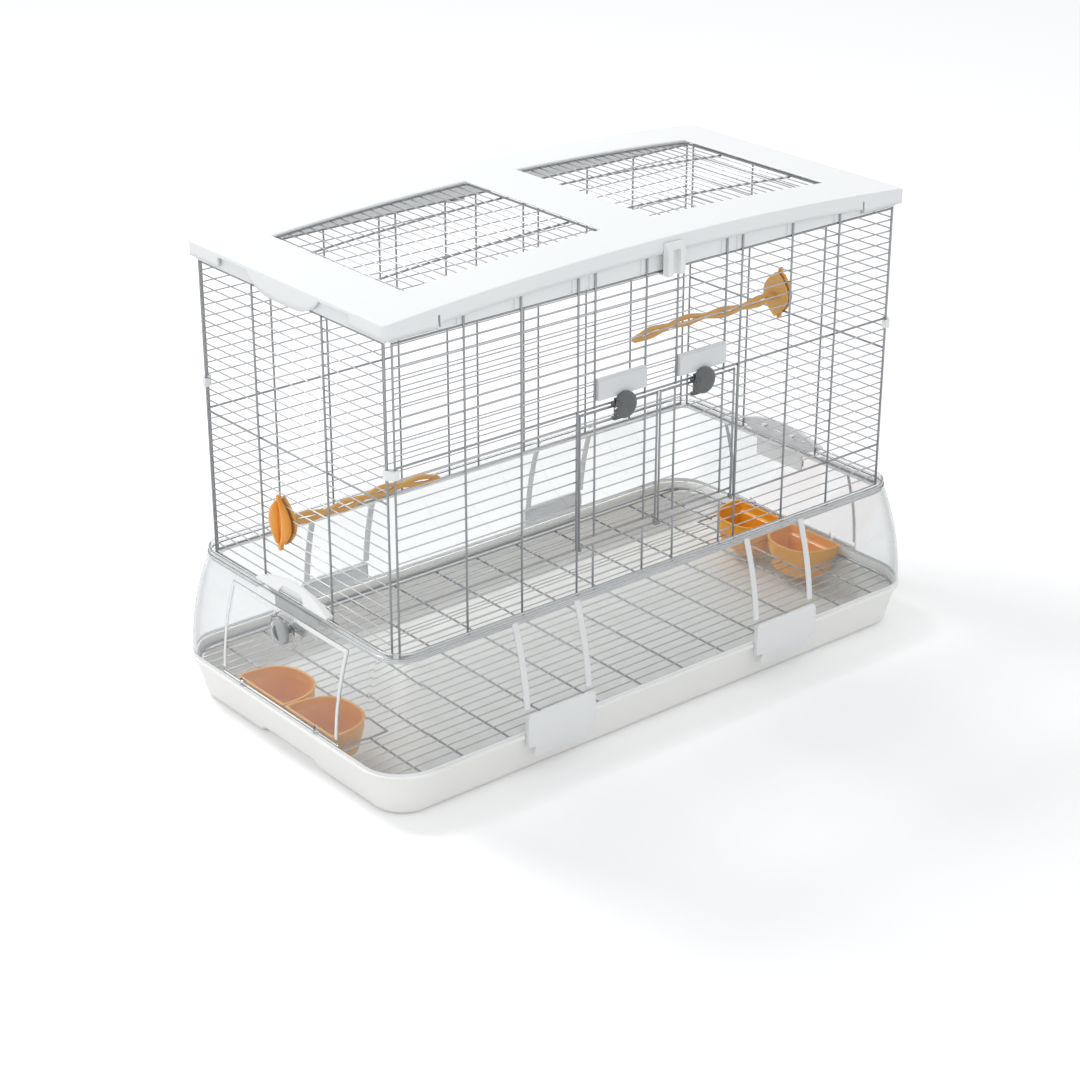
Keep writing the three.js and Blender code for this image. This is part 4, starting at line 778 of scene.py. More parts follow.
@dataclass
class Tray:
    """The moulded tray: drafted wall, rolled rim, ledge, finger recesses and catches."""

    wall: float = 2.5
    reach: float = 4.0
    draft: float = 12.0
    foot_round: float = 8.0
    rim_foot: float = 48.5
    corner: float = 53.0
    least_corner: float = 6.0
    finger_half: Span = (60.0, 45.0)
    finger_height: float = 12.0
    finger_plane: float = 366.0
    finger_sides: Span = (-5.0, 4.0)  # where the recess's sides start and end, from its edge
    finger_brow: Span = (-1.6, 1.4)  # the same at its head
    finger_columns: tuple[float, float, float] = (34.0, 70.0, 1.5)  # from, to, step
    notch_half: float = 47.7
    notch_face: float = 205.2
    notch_foot: float = 47.0
    catch_half: float = 27.0
    catch_face: float = 207.5
    catch_root: float = 11.0
    catch_levels: tuple[float, float, float, float] = (30.0, 30.6, 32.5, 33.0)

    def sloped(self, levels: Sequence[float], depth: float) -> Array:
        """Rows of height and inset on the drafted wall, at a depth in it."""
        z, slope = np.asarray(levels, float), self.draft / self.rim_foot
        return np.column_stack([z, self.reach + (self.rim_foot - z) * slope + depth])

    def footed(self, depth: float) -> Array:
        """Rows round the foot's quarter circle, at a depth in the wall."""
        radius = self.foot_round - depth
        cos, sin = arc(1.0, 0, 90, 7).T
        rows = self.sloped(depth + radius * (1 - cos), depth)
        return rows + np.column_stack([np.zeros(7), radius * (1 - sin)])

    def profile(self) -> Array:
        """Rows of height, inset, 1 on the inner wall and 1 on the outside.

        They run from the underside's edge up the outside, over the rim and down inside. The insets are
        measured in from the rim's outer face.
        """
        runs = (
            (self.footed(0.0), 0, 1),
            (self.sloped(TRAY_OUTER_LEVELS, 0.0), 0, 1),
            (TRAY_RIM, 0, 1),
            (TRAY_LEDGE, 0, 0),
            (self.sloped(TRAY_INNER_LEVELS, self.wall), 1, 0),
            (self.footed(self.wall)[::-1], 1, 0),
        )
        return np.concatenate([np.column_stack([rows, [marks] * len(rows)]) for rows, *marks in runs])

    def build(self) -> Piece:
        """The tray's mesh.

        Inside a finger recess, whose width narrows with its height, the wall's distance from the
        middle is drawn in to the recess's plane by a smooth mask.
        """
        z, inset, inner, outer = self.profile().T[..., None]
        along, across = SIZES.straight
        half_x, half_y = SIZES.tray_half
        xs = columns(along, 12, SIZES.clip_at - self.notch_half, SIZES.clip_at + self.notch_half)
        ys = mirrored([*columns(across, 8), *np.arange(*self.finger_columns)])
        corner = np.maximum(self.corner - inset, self.least_corner)
        ring = box_ring(half_x - inset, half_y - inset, corner, xs, ys, 12)
        x, y, nx, ny = np.moveaxis(ring, -1, 0)
        grown = self.wall * inner
        height = self.finger_height + grown
        wide, narrow = self.finger_half
        half = wide + grown - (wide - narrow) * z / height
        sides = smooth(np.abs(y) - half, *self.finger_sides)
        hollow = (1 - sides) * (1 - smooth(z - height, *self.finger_brow))
        limit = self.finger_plane - grown
        pushed = np.minimum(np.abs(x), limit + (np.abs(x) - limit) * (1 - hollow))
        x = np.where(np.abs(nx) > 0.99, np.sign(x) * pushed, x)
        beside = (np.abs(np.abs(x) - SIZES.clip_at) < self.notch_half) & (np.abs(ny) > 0.99)
        notched = beside & (outer > 0) & (z > self.notch_foot)
        y = np.where(notched, np.sign(y) * np.minimum(np.abs(y), self.notch_face), y)
        shell = Shell().grid(levelled(x, y, z), around=True, caps=True)
        root = half_y - self.catch_root
        for at in (-SIZES.clip_at, SIZES.clip_at):
            for way in WAYS:
                face = way * np.array([root, self.catch_face, self.catch_face, root])
                outline = np.column_stack([face, self.catch_levels])
                shell.prism(outline, at - self.catch_half, at + self.catch_half, "x")
        return shell.make("tray", sharp=28)


# Debris guard and side flaps


GUARD_LEVELS = (53.8, 54.6, 57.7, 58.3, 165.7, 166.3, 175.2)  # the ends, and pairs at the opening's edges
GUARD_LIP = (  # height and how far out, from the bead up
    (176.4, 1.3), (177.2, 1.17), (177.8, 0.1), (179.5, 0.0), (181.6, 0.0), (182.0, 0.5),
)


@dataclass
class Guard:
    """The clear guard: curved wall with a flap opening in each short side, lip, shelf and ribs."""

    wall: float = 2.2
    flap_half: float = 109.0
    flap_low: float = 58.0
    flap_high: float = 166.0
    short_side: float = 350.0  # nothing but the short sides is farther out
    shelf_top: float = 173.5
    shelf_thick: float = 2.5
    shelf_edge: float = 1.2
    shelf_reach: float = 15.5
    shelf_ease: float = 0.3
    least_corner: float = 12.0
    bay_half: float = 67.0
    bay_face: float = 350.6
    rib_at: float = 42.5
    rib_half: float = 4.0
    rib_proud: float = 1.5
    foot_low: float = 54.0
    foot_high: float = 57.5
    foot_proud: float = 0.5
    eye_at: float = 70.0
    eye_half: float = 3.5
    eye_round: float = 3.0
    eye_foot: float = 57.4

    def rings(self, z: Array, out: Array, step: Span, *marks: float) -> Array:
        """Rounded rectangles round the outer face, one for each level, with an outset at each.

        Args:
            z: heights that the wall's lean is taken at.
            out: how far out each ring lies.
            step: about how far apart the columns are, along and across.
            marks: places on the short sides that get a pair of columns.
        """
        half_x, half_y, radius = SIZES.guard_half(z)
        along, across = SIZES.straight
        xs, ys = columns(along, step[0]), columns(across, step[1], *marks)
        return box_ring(half_x + out, half_y + out, radius + out, xs, ys, 12)

    def build(self) -> Piece:
        """The wall with its lip and bead, as one sheet that is given its wall."""
        z = np.unique([*GUARD_LEVELS, *np.linspace(62, 173, 20)])
        lip_z, lip_out = np.transpose(GUARD_LIP)
        lean = np.concatenate([z, np.full(len(lip_z), SIZES.guard_head)])
        out = np.concatenate([np.zeros(len(z)), lip_out])
        ring = self.rings(lean, out, (16, 10), self.flap_half)
        grid = levelled(ring[..., 0], ring[..., 1], np.concatenate([z, lip_z]))
        mid = (grid[1:] + grid[:-1]) / 2
        x, y, level = np.moveaxis((mid + np.roll(mid, -1, axis=1)) / 2, -1, 0)
        within = (np.abs(y) < self.flap_half) & (level > self.flap_low) & (level < self.flap_high)
        hole = within & (np.abs(x) > self.short_side)
        obj = Shell().grid(grid, around=True, keep=~hole).make("guard", sharp=30)
        solidify(obj, self.wall)
        bevel(obj, 0.35, 1, 50)
        return obj

    def foot(self) -> Piece:
        """The band around the wall's foot, below the flaps' openings."""
        z, out = raised(self.foot_low, self.foot_high, 0.4, 0.6, self.foot_proud - 0.2, self.foot_proud)
        ring = self.rings(z, out, (16, 10))
        grid = levelled(ring[..., 0], ring[..., 1], z)
        return Shell().grid(grid, around=True, along=True).make("guard_foot", sharp=30)

    def ribs(self) -> Piece:
        """The ribs up the long walls above the base clips: at each level a rib's front stands proud of
        the wall's face, and its back lies in the wall."""
        z = np.array([81.0, 81.8, *np.linspace(86, 170, 16), 175.0, 175.8])
        ease = np.array([0.3, *np.ones(len(z) - 2), 0.3])[:, None]
        face = SIZES.guard_half(z)[1][:, None]
        across, out = raised(self.rib_half, -self.rib_half, 0.8, 0.4, self.rib_proud / 2, self.rib_proud)
        shell = Shell()
        for way in WAYS:
            for at in (w * SIZES.clip_at + v * self.rib_at for w in WAYS for v in WAYS):
                y = -way * (face + out * np.where(out > 0, ease, 1))
                shell.grid(levelled(at + way * across, y, z), around=True, caps=True)
        obj = shell.make("guard_ribs", sharp=30)
        merge_doubles(obj.data)
        return obj

    def eyes(self) -> Piece:
        """The blocks on the wall that hold the flaps' hinge bars."""
        axis = np.array(Flap().axis)
        feet = [[axis[0] + way * self.eye_round, self.eye_foot] for way in (1, -1)]
        arch = axis + arc(self.eye_round, 0, 180, 9)
        shell = Shell()
        for way in WAYS:
            for at in (-self.eye_at, self.eye_at):
                outline = np.concatenate([feet[:1], arch, feet[1:]]) * [way, 1]
                shell.prism(outline, at - self.eye_half, at + self.eye_half, "y")
        return shell.make("guard_eyes", sharp=30)

    def shelf(self) -> Piece:
        """The shelf that the wire walls stand on, with a bay in each short side for the keeper."""
        near, far = self.shelf_edge, self.shelf_reach
        inset = np.array([near, near, far - 0.2, far, far, far - 0.2])
        top, low, ease = self.shelf_top, self.shelf_top - self.shelf_thick, self.shelf_ease
        z = np.array([low, top, top, top - ease, low + ease, low])
        half_x, half_y, radius = SIZES.guard_half(SIZES.guard_head)
        along, across = SIZES.straight
        xs, ys = columns(along, 30), columns(across, 20, self.bay_half)
        corner = np.maximum(radius - inset, self.least_corner)
        x, y, nx, _ = np.moveaxis(box_ring(half_x - inset, half_y - inset, corner, xs, ys, 10), -1, 0)
        bay = (np.abs(nx) > 0.99) & (np.abs(y) < self.bay_half)
        x = np.where(bay, np.sign(x) * np.minimum(np.abs(x), self.bay_face), x)
        shell = Shell().grid(levelled(x, y, z)[::-1], around=True, along=True)
        return shell.make("guard_shelf", sharp=30, merge=SAME_POINT)


@dataclass
class Flap:
    """A clear side flap on the +X side: a patch of the guard's wall with a raised seat for its latch."""

    half: float = 108.5
    low: float = 60.4
    high: float = 165.5
    wall: float = 2.2
    seat_half: Span = (25.0, 17.0)
    seat_face: float = 378.0
    seat_height: float = 148.0
    seat_ease: Span = (-1.2, 0.4)
    axis: Span = (385.84, 60.2)
    bar: float = 1.6
    eye_at: float = 70.0
    eye_half: float = 5.0
    eye_height: float = 5.0
    frame_width: float = 4.5
    frame_proud: float = 0.7

    def build(self, name: str, place: Place) -> Piece:
        """The flap's sheet with the raised seat, cut out round the guard's eyes."""
        z = np.unique([*np.linspace(self.low, self.high, 40), self.low + 4.0, self.low + 5.4])
        y = columns(self.half, 3.0, self.eye_at - self.eye_half, self.eye_at + self.eye_half)
        yy, zz = np.meshgrid(y, z)
        x = SIZES.guard_half(zz)[0]
        a, b = self.seat_half
        run = np.maximum(np.abs(yy) - (a - b), 0)
        off = np.sqrt(run**2 + (zz - self.seat_height) ** 2)
        x = x + (1 - smooth(off - b, *self.seat_ease)) * np.maximum(self.seat_face - x, 0)
        eye = np.abs(np.abs(centres(yy)) - self.eye_at) < self.eye_half
        keep = ~(eye & (centres(zz) < self.low + self.eye_height))
        obj = Shell().grid(np.stack([x, yy, zz], axis=-1), keep=keep).moved(place).make(name, sharp=35)
        solidify(obj, self.wall)
        bevel(obj, 0.35, 1, 50)
        return obj

    def frame_strip(self, name: str, place: Place) -> Piece:
        """The thickened frame along the flap's sides and head: strips that follow the sheet's face and
        stand a little proud of it."""
        width = self.frame_width
        edge, out = raised(0.3, width, 0.6, 0.6, 0.3, self.frame_proud)
        z = np.array([*np.linspace(self.low + 6, self.high - width, 26), self.high - 0.2])
        face = SIZES.guard_half(z)[0][:, None]
        shell = Shell()
        for way in WAYS:
            shell.grid(levelled(face + out, way * (self.half - edge), z), around=True, caps=True)
        y = np.linspace(width - self.half, self.half - width, 24)[:, None]
        high = self.high - edge
        head = np.broadcast_arrays(SIZES.guard_half(high)[0] + out, y, high)
        shell.grid(np.stack(head, axis=-1), around=True, caps=True)
        obj = shell.moved(place).make(name, sharp=30)
        merge_doubles(obj.data)
        return obj

    def hinge(self, name: str, place: Place) -> Piece:
        """The moulded hinge bar along the flap's foot."""
        x, z = self.axis
        bar = Shell().wire((x, -self.half, z), (x, self.half, z), self.bar, 16)
        return bar.moved(place).make(name)


# Wires


@dataclass
class WireWall:
    """One wire wall in its local frame: rows at y = 0 and uprights outside them."""

    name: str
    half: float
    place: Place
    uprights: Sequence[float]
    heavy_rows: tuple[int, ...]
    doors: bool = False
    under_roof: bool = False
    jamb_at: float = 114.7

    def build(self) -> Pair:
        """The wall's heavy wires and its fine ones."""
        s, wires = SIZES, WirePair(SIZES.jamb)
        foot, sill, door_head, head = (s.row(i) for i in (0, s.sill_row, s.head_row, s.row_count))
        for index in range(s.row_count + 1):
            z = s.row(index)
            radius = s.heavy if index in (0, s.row_count, *self.heavy_rows) else s.fine
            cut = self.doors and sill < z < door_head
            inner = self.jamb_at if cut else self.half
            for low, high in ((-self.half, -inner), (inner, self.half)) if cut else ((-inner, inner),):
                wires.add((low, 0, z), (high, 0, z), radius)
        for x in (-self.half, self.half):
            wires.add((x, 0, foot - s.heavy), (x, 0, head + s.heavy), s.heavy)
        if self.doors:
            for x in (-self.jamb_at, self.jamb_at):
                wires.add((x, 0, sill), (x, 0, door_head), s.jamb)
        for x in self.uprights:
            short = self.doors and abs(x) < self.jamb_at - 1
            for low, high in ((foot, sill), (door_head, head)) if short else ((foot, head),):
                top = Roof().fascia_foot(x) if self.under_roof and high == head else high
                wires.add((x, s.upright_plane, low - s.stub), (x, s.upright_plane, top + s.stub), s.heavy)
        return wires.make(self.name, self.place)


@dataclass
class Door:
    """A front door in its local frame: z from the hinge axis, rows at y = 0."""

    half: float = 54.0
    foot: float = 10.0
    top: float = 151.0
    rows: int = 10
    upright_at: float = 35.0
    curl: float = 2.9
    curl_turn: float = 350.0
    curl_share: float = 0.85  # the curled wire's share of the heavy radius
    stem: tuple[Span, ...] = ((0.0, 131.0), (0.0, 30.0), (0.1, 6.5))  # y, z down to the curl
    side_foot: float = 4.0

    def build(self, name: str, place: Place) -> Pair:
        """The door's heavy wires, with a curl round the sill wire at each side, and its fine ones."""
        s, wires = SIZES, WirePair(SIZES.heavy)
        for index, z in enumerate(np.linspace(self.foot, self.top, self.rows + 2)):
            radius = s.heavy if index in (0, self.rows + 1) else s.fine
            wires.add((-self.half, 0, z), (self.half, 0, z), radius)
        y = s.upright_plane
        for x in (-self.upright_at, self.upright_at):
            wires.add((x, y, self.foot - s.stub), (x, y, self.top + s.stub), s.heavy)
        head = self.top + s.heavy
        line = np.concatenate([[(0.0, head)], self.stem, arc(self.curl, 90, 90 + self.curl_turn, 26)])
        for x in (-self.half, self.half):
            wires.heavy.tube(np.column_stack([np.full(len(line), x), line]), self.curl_share * s.heavy)
            wires.add((x, 0, self.side_foot), (x, 0, head), s.heavy)
        return wires.make(name, place)


@dataclass
class FloorGrille:
    """The floor grille: outer loop, fine wires, bars under them and bays for the cups."""

    half: Span = (379.5, 198.0)
    corner: float = 40.0
    height: float = 45.2
    pitch: float = 14.5
    count: int = 27
    bay: float = 313.0
    bay_half: float = 94.0
    bars: tuple[float, ...] = (31.25, 93.75, 156.25, 218.75, 281.25)
    end_bar: float = 335.0
    edge_wires: float = 188.0  # wires farther out than this are heavier
    lap: float = 1.2

    def build(self) -> Pair:
        """The grille's heavy wires and its fine ones."""
        s, wires = SIZES, WirePair(1.0)
        (half_x, half_y), level = self.half, self.height
        straight = half_x - self.corner, half_y - self.corner
        xs = np.linspace(-straight[0], straight[0], 9)[1:-1]
        ys = np.linspace(-straight[1], straight[1], 5)
        ring = box_ring([half_x], [half_y], [self.corner], xs, ys, 8)[0]
        wires.heavy.tube(np.column_stack([ring[:, :2], np.full(len(ring), level)]), s.heavy, closed=True)
        index = np.arange(self.count) - self.count // 2
        y = index * self.pitch
        over = np.clip(np.abs(y) - straight[1], 0, None)
        reach = straight[0] + np.sqrt(self.corner**2 - over**2)
        end = np.where((np.abs(y) < self.bay_half) & (index != 0), self.bay, reach)
        for x, at in zip(end, y):
            edge = abs(at) > self.edge_wires
            wires.add((-x, at, level), (x, at, level), s.heavy - 0.1 if edge else s.fine)
        under = level - s.fine - s.heavy + s.weld
        reach_y = y[-1] + s.heavy
        for bar in (way * v for v in self.bars for way in WAYS):
            wires.add((bar, -reach_y, under), (bar, reach_y, under), s.heavy)
        for way in WAYS:
            bay = way * self.bay
            wires.add((bay, -self.bay_half, level), (bay, self.bay_half, level), s.heavy - 0.1)
            for side in WAYS:
                line, bar = side * self.bay_half, way * self.end_bar
                start = (bay - way * self.lap, line, level)
                wires.add(start, (way * half_x, line, level), s.heavy - s.weld)
                wires.add((bar, line - side * self.lap, under), (bar, side * reach_y, under), s.heavy)
        return wires.make("floor_wires", Place())


# Roof


@dataclass
class Roof:
    """The crowned roof frame, and the two grilles under its windows."""

    half: Span = (360.0, 176.0)
    corner: float = 6.0
    edge: float = 535.0
    rise: float = 17.25
    fall_share: float = 0.1
    skin: float = 3.0
    window: tuple[float, float, float] = (36.0, 293.0, 114.5)
    window_round: float = 2.0
    edge_round: float = 2.2
    skirt_foot: float = 514.5
    fascia: float = 17.0
    block_edge: float = 293.0
    slot: float = 3.0
    block_foot: float = 519.0
    lobe_half: float = 64.0
    side_block: float = 117.0
    lobe_foot: float = 510.0
    recess_foot: float = 530.0
    wires: int = 19
    lap: float = 4.0
    cross_at: float = 57.0
    grille_gap: float = 1.5
    band: tuple[float, float, float] = (168.4, 169.3, 170.8)
    band_drop: float = 4.0
    rib_half: Span = (351.0, 168.0)
    rib_head: float = 533.5
    rib_thick: float = 3.0
    notch_half: float = 3.4
    notch_aside: float = 9.5
    notch_height: float = 16.0

    def height(self, x: Array, y: Array) -> Array:
        """Height of the roof's face: the edge's plus a crown that falls with the square of the share
        along, and a little with the fourth power of the share across."""
        along = 1 - (np.asarray(x, float) / self.half[0]) ** 2
        across = 1 - self.fall_share * np.abs(np.asarray(y, float) / self.half[1]) ** 4
        return self.edge + self.rise * along * across

    def fascia_foot(self, x: Array) -> Array:
        """Height of the long side's foot at x."""
        return self.height(x, self.half[1]) - self.fascia

    def foot(self, x: Array, y: Array) -> Array:
        """Height of the skirt's foot where it stands at x, y.

        Between the corner blocks it follows the arched long edge, one fascia below it. On a short side
        it is the recess's, less a lobe that falls with one less the fourth power of the share across.
        """
        x, y = np.abs(x), np.abs(y)
        long_side = y > self.half[1] - self.corner
        slot = long_side & (x > self.block_edge) & (x < self.block_edge + self.slot)
        low = np.where(slot, self.edge - self.skin, self.block_foot)
        low = np.where(long_side & (x < self.block_edge), self.fascia_foot(x), low)
        fall = (self.recess_foot - self.lobe_foot) * np.clip(1 - (y / self.lobe_half) ** 4, 0, 1)
        return np.where(~long_side & (y < self.side_block), self.recess_foot - fall, low)

    def cover(self) -> Shell:
        """The crowned face with its two windows, and the skirt round its edge, as one sheet.

        The face is a grid whose corners are drawn onto arcs: inside a corner's square a point moves
        along its ray from the arc's centre until the square's larger reach becomes the ray's length.
        Near a window the face falls by a quarter circle. The skirt's rows start from the grid's own
        border: a quarter round outwards, then straight down to the foot.
        """
        near, far, across = self.window
        inset = self.edge_round
        bx, by = self.half[0] - inset, self.half[1] - inset
        rim, border = np.array([0, 0.4, 1.0, 2.0, 3.4]), np.array([0, 1.3, 2.6, 3.8])
        slots = [self.block_edge + s + e for s in (0, self.slot) for e in (-0.25, 0.25)]
        sides = [self.side_block - 0.25, self.side_block + 0.25]
        xs = mirrored([*np.linspace(0, bx - 6, 44), *(near - rim), *(far + rim), *(bx - border), *slots])
        lobe = np.linspace(0, self.lobe_half, 13)
        ys = mirrored([*np.linspace(0, by - 6, 18), *(across + rim), *(by - border), *sides, *lobe])
        xx, yy = np.meshgrid(xs, ys)
        mx, my = np.abs(centres(xx)), np.abs(centres(yy))
        hole = (mx > near) & (mx < far) & (my < across)
        radius = self.corner - inset
        cx, cy = bx - radius, by - radius
        dx, dy = np.maximum(np.abs(xx) - cx, 0), np.maximum(np.abs(yy) - cy, 0)
        square = (dx > 0) & (dy > 0)
        scale = np.maximum(dx, dy) / np.maximum(np.hypot(dx, dy), 1e-9)
        px = np.where(square, np.sign(xx) * (cx + dx * scale), xx)
        py = np.where(square, np.sign(yy) * (cy + dy * scale), yy)
        gap_x = np.maximum(np.maximum(near - np.abs(xx), np.abs(xx) - far), 0)
        gap_y = np.maximum(np.abs(yy) - across, 0)
        gap = np.clip(np.hypot(gap_x, gap_y) / self.window_round, 0, 1)
        zz = self.height(xx, yy) - self.window_round * (1 - np.sqrt(1 - (1 - gap) ** 2))
        shell = Shell().grid(np.dstack([px, py, zz]), keep=~hole)
        back = slice(None, 0, -1)
        loop = ((0, slice(None, -1)), (slice(None, -1), -1), (-1, back), (back, 0))
        line, flat = (
            np.concatenate([np.stack([u[at], v[at]], axis=-1) for at in loop])
            for u, v in ((px, py), (xx, yy))
        )
        middle = np.array([cx, cy])
        way = np.where(np.abs(flat) > middle, np.abs(line) - middle, 0) * np.sign(flat)
        way /= np.linalg.norm(way, axis=1, keepdims=True)
        crown = self.height(*flat.T)
        foot, top = self.foot(*(line + way * inset).T), crown - inset
        rows = [
            np.column_stack([line + way * inset * sin, crown - inset * (1 - cos)])
            for cos, sin in arc(1.0, 0, 90, 6)
        ]
        for share in (0.3, 0.65, 1.0):
            level = top + (np.minimum(foot, top - 0.5) - top) * share
            rows.append(np.column_stack([line + way * inset, level]))
        return shell.grid(np.stack(rows)[::-1], around=True)

    def arched(self, near: float, far: float, half: float, notches: bool) -> Shell:
        """A straight strip under the crown, notched at its foot where the uprights' ends run up.

        Args:
            near, far: the places of its two faces across, on one side of the roof.
            half: its half length.
            notches: whether the foot has notches.
        """
        foot, high = self.skirt_foot, self.skirt_foot + self.notch_height
        outline = [[-half, foot]]
        aside = self.notch_aside * np.sign(near)
        for at in sorted(way * v + aside for v in SIZES.uprights for way in WAYS) if notches else ():
            left, right = at - self.notch_half, at + self.notch_half
            outline += [[left, foot], [left + 1, high], [right - 0.5, high], [right - 1, foot]]
        outline.append([half, foot])
        xs = np.linspace(half, -half, 60)
        top = np.column_stack([xs, self.height(xs, self.half[1]) - self.band_drop])
        return Shell().prism(np.concatenate([outline, top]), min(near, far), max(near, far), "y")

    def build(self) -> list[Piece]:
        """The frame's moulding, its bands and the ribs that rest on the walls' rails."""
        sheet = self.cover().make("roof_cover", sharp=40, merge=0.02)
        solidify(sheet, self.skin)
        bands, ribs = Shell(), Shell()
        along, across = self.rib_half
        low, high, thick = self.skirt_foot, self.rib_head, self.rib_thick / 2
        for way in WAYS:
            inner, mid, outer = (way * v for v in self.band)
            bands.join(self.arched(mid, outer, self.block_edge, True))
            ribs.join(self.arched(inner, mid, along, False))
            x = way * SIZES.side_plane
            rib = np.array([[-across, low], [across, low], [across, high], [-across, high]])
            ribs.prism(rib, x - thick, x + thick, "x")
        return [sheet, bands.make("roof_bands", sharp=40), ribs.make("roof_ribs", sharp=40)]

    def grille_height(self, x: Array) -> Array:
        """Height of a grille's frame wire at x, under the roof's skin."""
        under = self.skin + self.grille_gap + SIZES.heavy
        return self.height(x, self.window[2] + self.lap) - under

    def grille(self, way: int, name: str) -> Pair:
        """One roof grille: an arched loop with two bars, and the fine wires across them."""
        s, wires = SIZES, WirePair(SIZES.heavy)
        x0, x1, y = self.window[0] - self.lap, self.window[1] + self.lap, self.window[2] + self.lap
        xs = np.linspace(x0 + 4, x1 - 4, 24)
        bend = np.array([[-1.2, y - 1.2], [0, y - 4], [0, 0], [0, 4 - y], [-1.2, 1.2 - y]])
        long_side = np.column_stack([xs, np.full(24, y)])
        flat = np.concatenate([long_side, bend + [x1, 0], long_side[::-1] * [1, -1], [x0, 0] - bend])
        wires.heavy.tube(np.column_stack([flat, self.grille_height(flat[:, 0])]), s.heavy, closed=True)
        for at in np.linspace(x0, x1, self.wires + 2)[1:-1]:
            z = self.grille_height(at)
            wires.add((at, -y, z), (at, y, z), s.fine)
        run = np.linspace(x0, x1, 26)
        under = self.grille_height(run) - s.fine - s.heavy + s.weld
        for side in (-self.cross_at, self.cross_at):
            wires.heavy.tube(np.column_stack([run, np.full(26, side), under]), s.heavy)
        return wires.make(name, Place(turn=Turn.FRONT if way > 0 else Turn.BACK))


# Cups, perches and knobs


CUP_RUNS = (  # whether the rows belong to the rim, then their heights and insets, up outside and down
    (False, ((20.0, 9.0), (20.3, 7.4), (21.4, 6.4), (23.5, 5.6), (30, 3.6), (38, 1.8), (46.2, 0.2))),
    (
        True,
        (
            (46.7, 1.9), (46.9, 1.5), (47.6, 1.4), (54, 1.4), (58.0, 1.3), (58.3, 0.4), (58.8, 0.05),
            (59.3, 0.1), (59.7, 0.7), (59.7, 2.6), (59.3, 3.2), (57.8, 3.4), (50.2, 3.4), (49.4, 3.8),
        ),
    ),
    (False, ((47.2, 2.2), (38, 3.9), (30, 5.6), (24.6, 7.9), (22.9, 9.2), (22.0, 11.5))),
)


@dataclass
class Cup:
    """A half-moon seed cup on the +X side, drawn round y = 0."""

    width: float = 91.0
    depth: float = 62.0
    face: float = 380.0
    body_face: float = 375.4
    body_inset: float = 3.6
    power: float = 0.8

    def ring(self, face: float, depth: float, half: float) -> Array:
        """A half-moon outline as (x, y): a flat side with small rounded corners, and a round side
        that is a superellipse of power 2.5 of the depth and half width."""
        turn = arc(1.0, 90, 270, 50)
        lead = depth / 8
        bow = np.sign(turn) * np.abs(turn) ** self.power * [depth - lead, half] - [lead, 0]
        flat = np.column_stack([np.zeros(10), np.linspace(-0.93, 0.93, 10) * half])
        corner = np.array([[-1.2, -0.985 * half], [-0.3, -0.965 * half]])
        return np.concatenate([bow, corner, flat, corner[::-1] * [1, -1]]) + [face, 0]

    def build(self, name: str, place: Place) -> Piece:
        """The cup's closed wall, from its foot up the outside, over the rolled rim and down inside."""
        half, less = self.width / 2, self.body_inset
        body_depth = self.depth - less - (self.face - self.body_face) / 2
        body, rim = (self.body_face, body_depth, half - less), (self.face, self.depth, half)
        rows = []
        for of_rim, run in CUP_RUNS:
            sizes = rim if of_rim else body
            for z, inset in run:
                ring = self.ring(*np.subtract(sizes, (inset, 2 * inset, inset)))
                rows.append(np.column_stack([ring, np.full(len(ring), z)]))
        shell = Shell().grid(np.stack(rows), around=True, caps=True)
        return shell.moved(place).make(name, sharp=40, merge=SAME_POINT)


@dataclass(frozen=True)
class Facing:
    """A local frame that keeps pointing +X or is mirrored to -X, then is moved."""

    way: int
    x: float = 0.0
    y: float = 0.0
    z: float = 0.0

    def __call__(self, points: Array) -> Array:
        """Local points (..., 3) in the cage's frame."""
        return np.asarray(points, float) * [self.way, 1, 1] + [self.x, self.y, self.z]


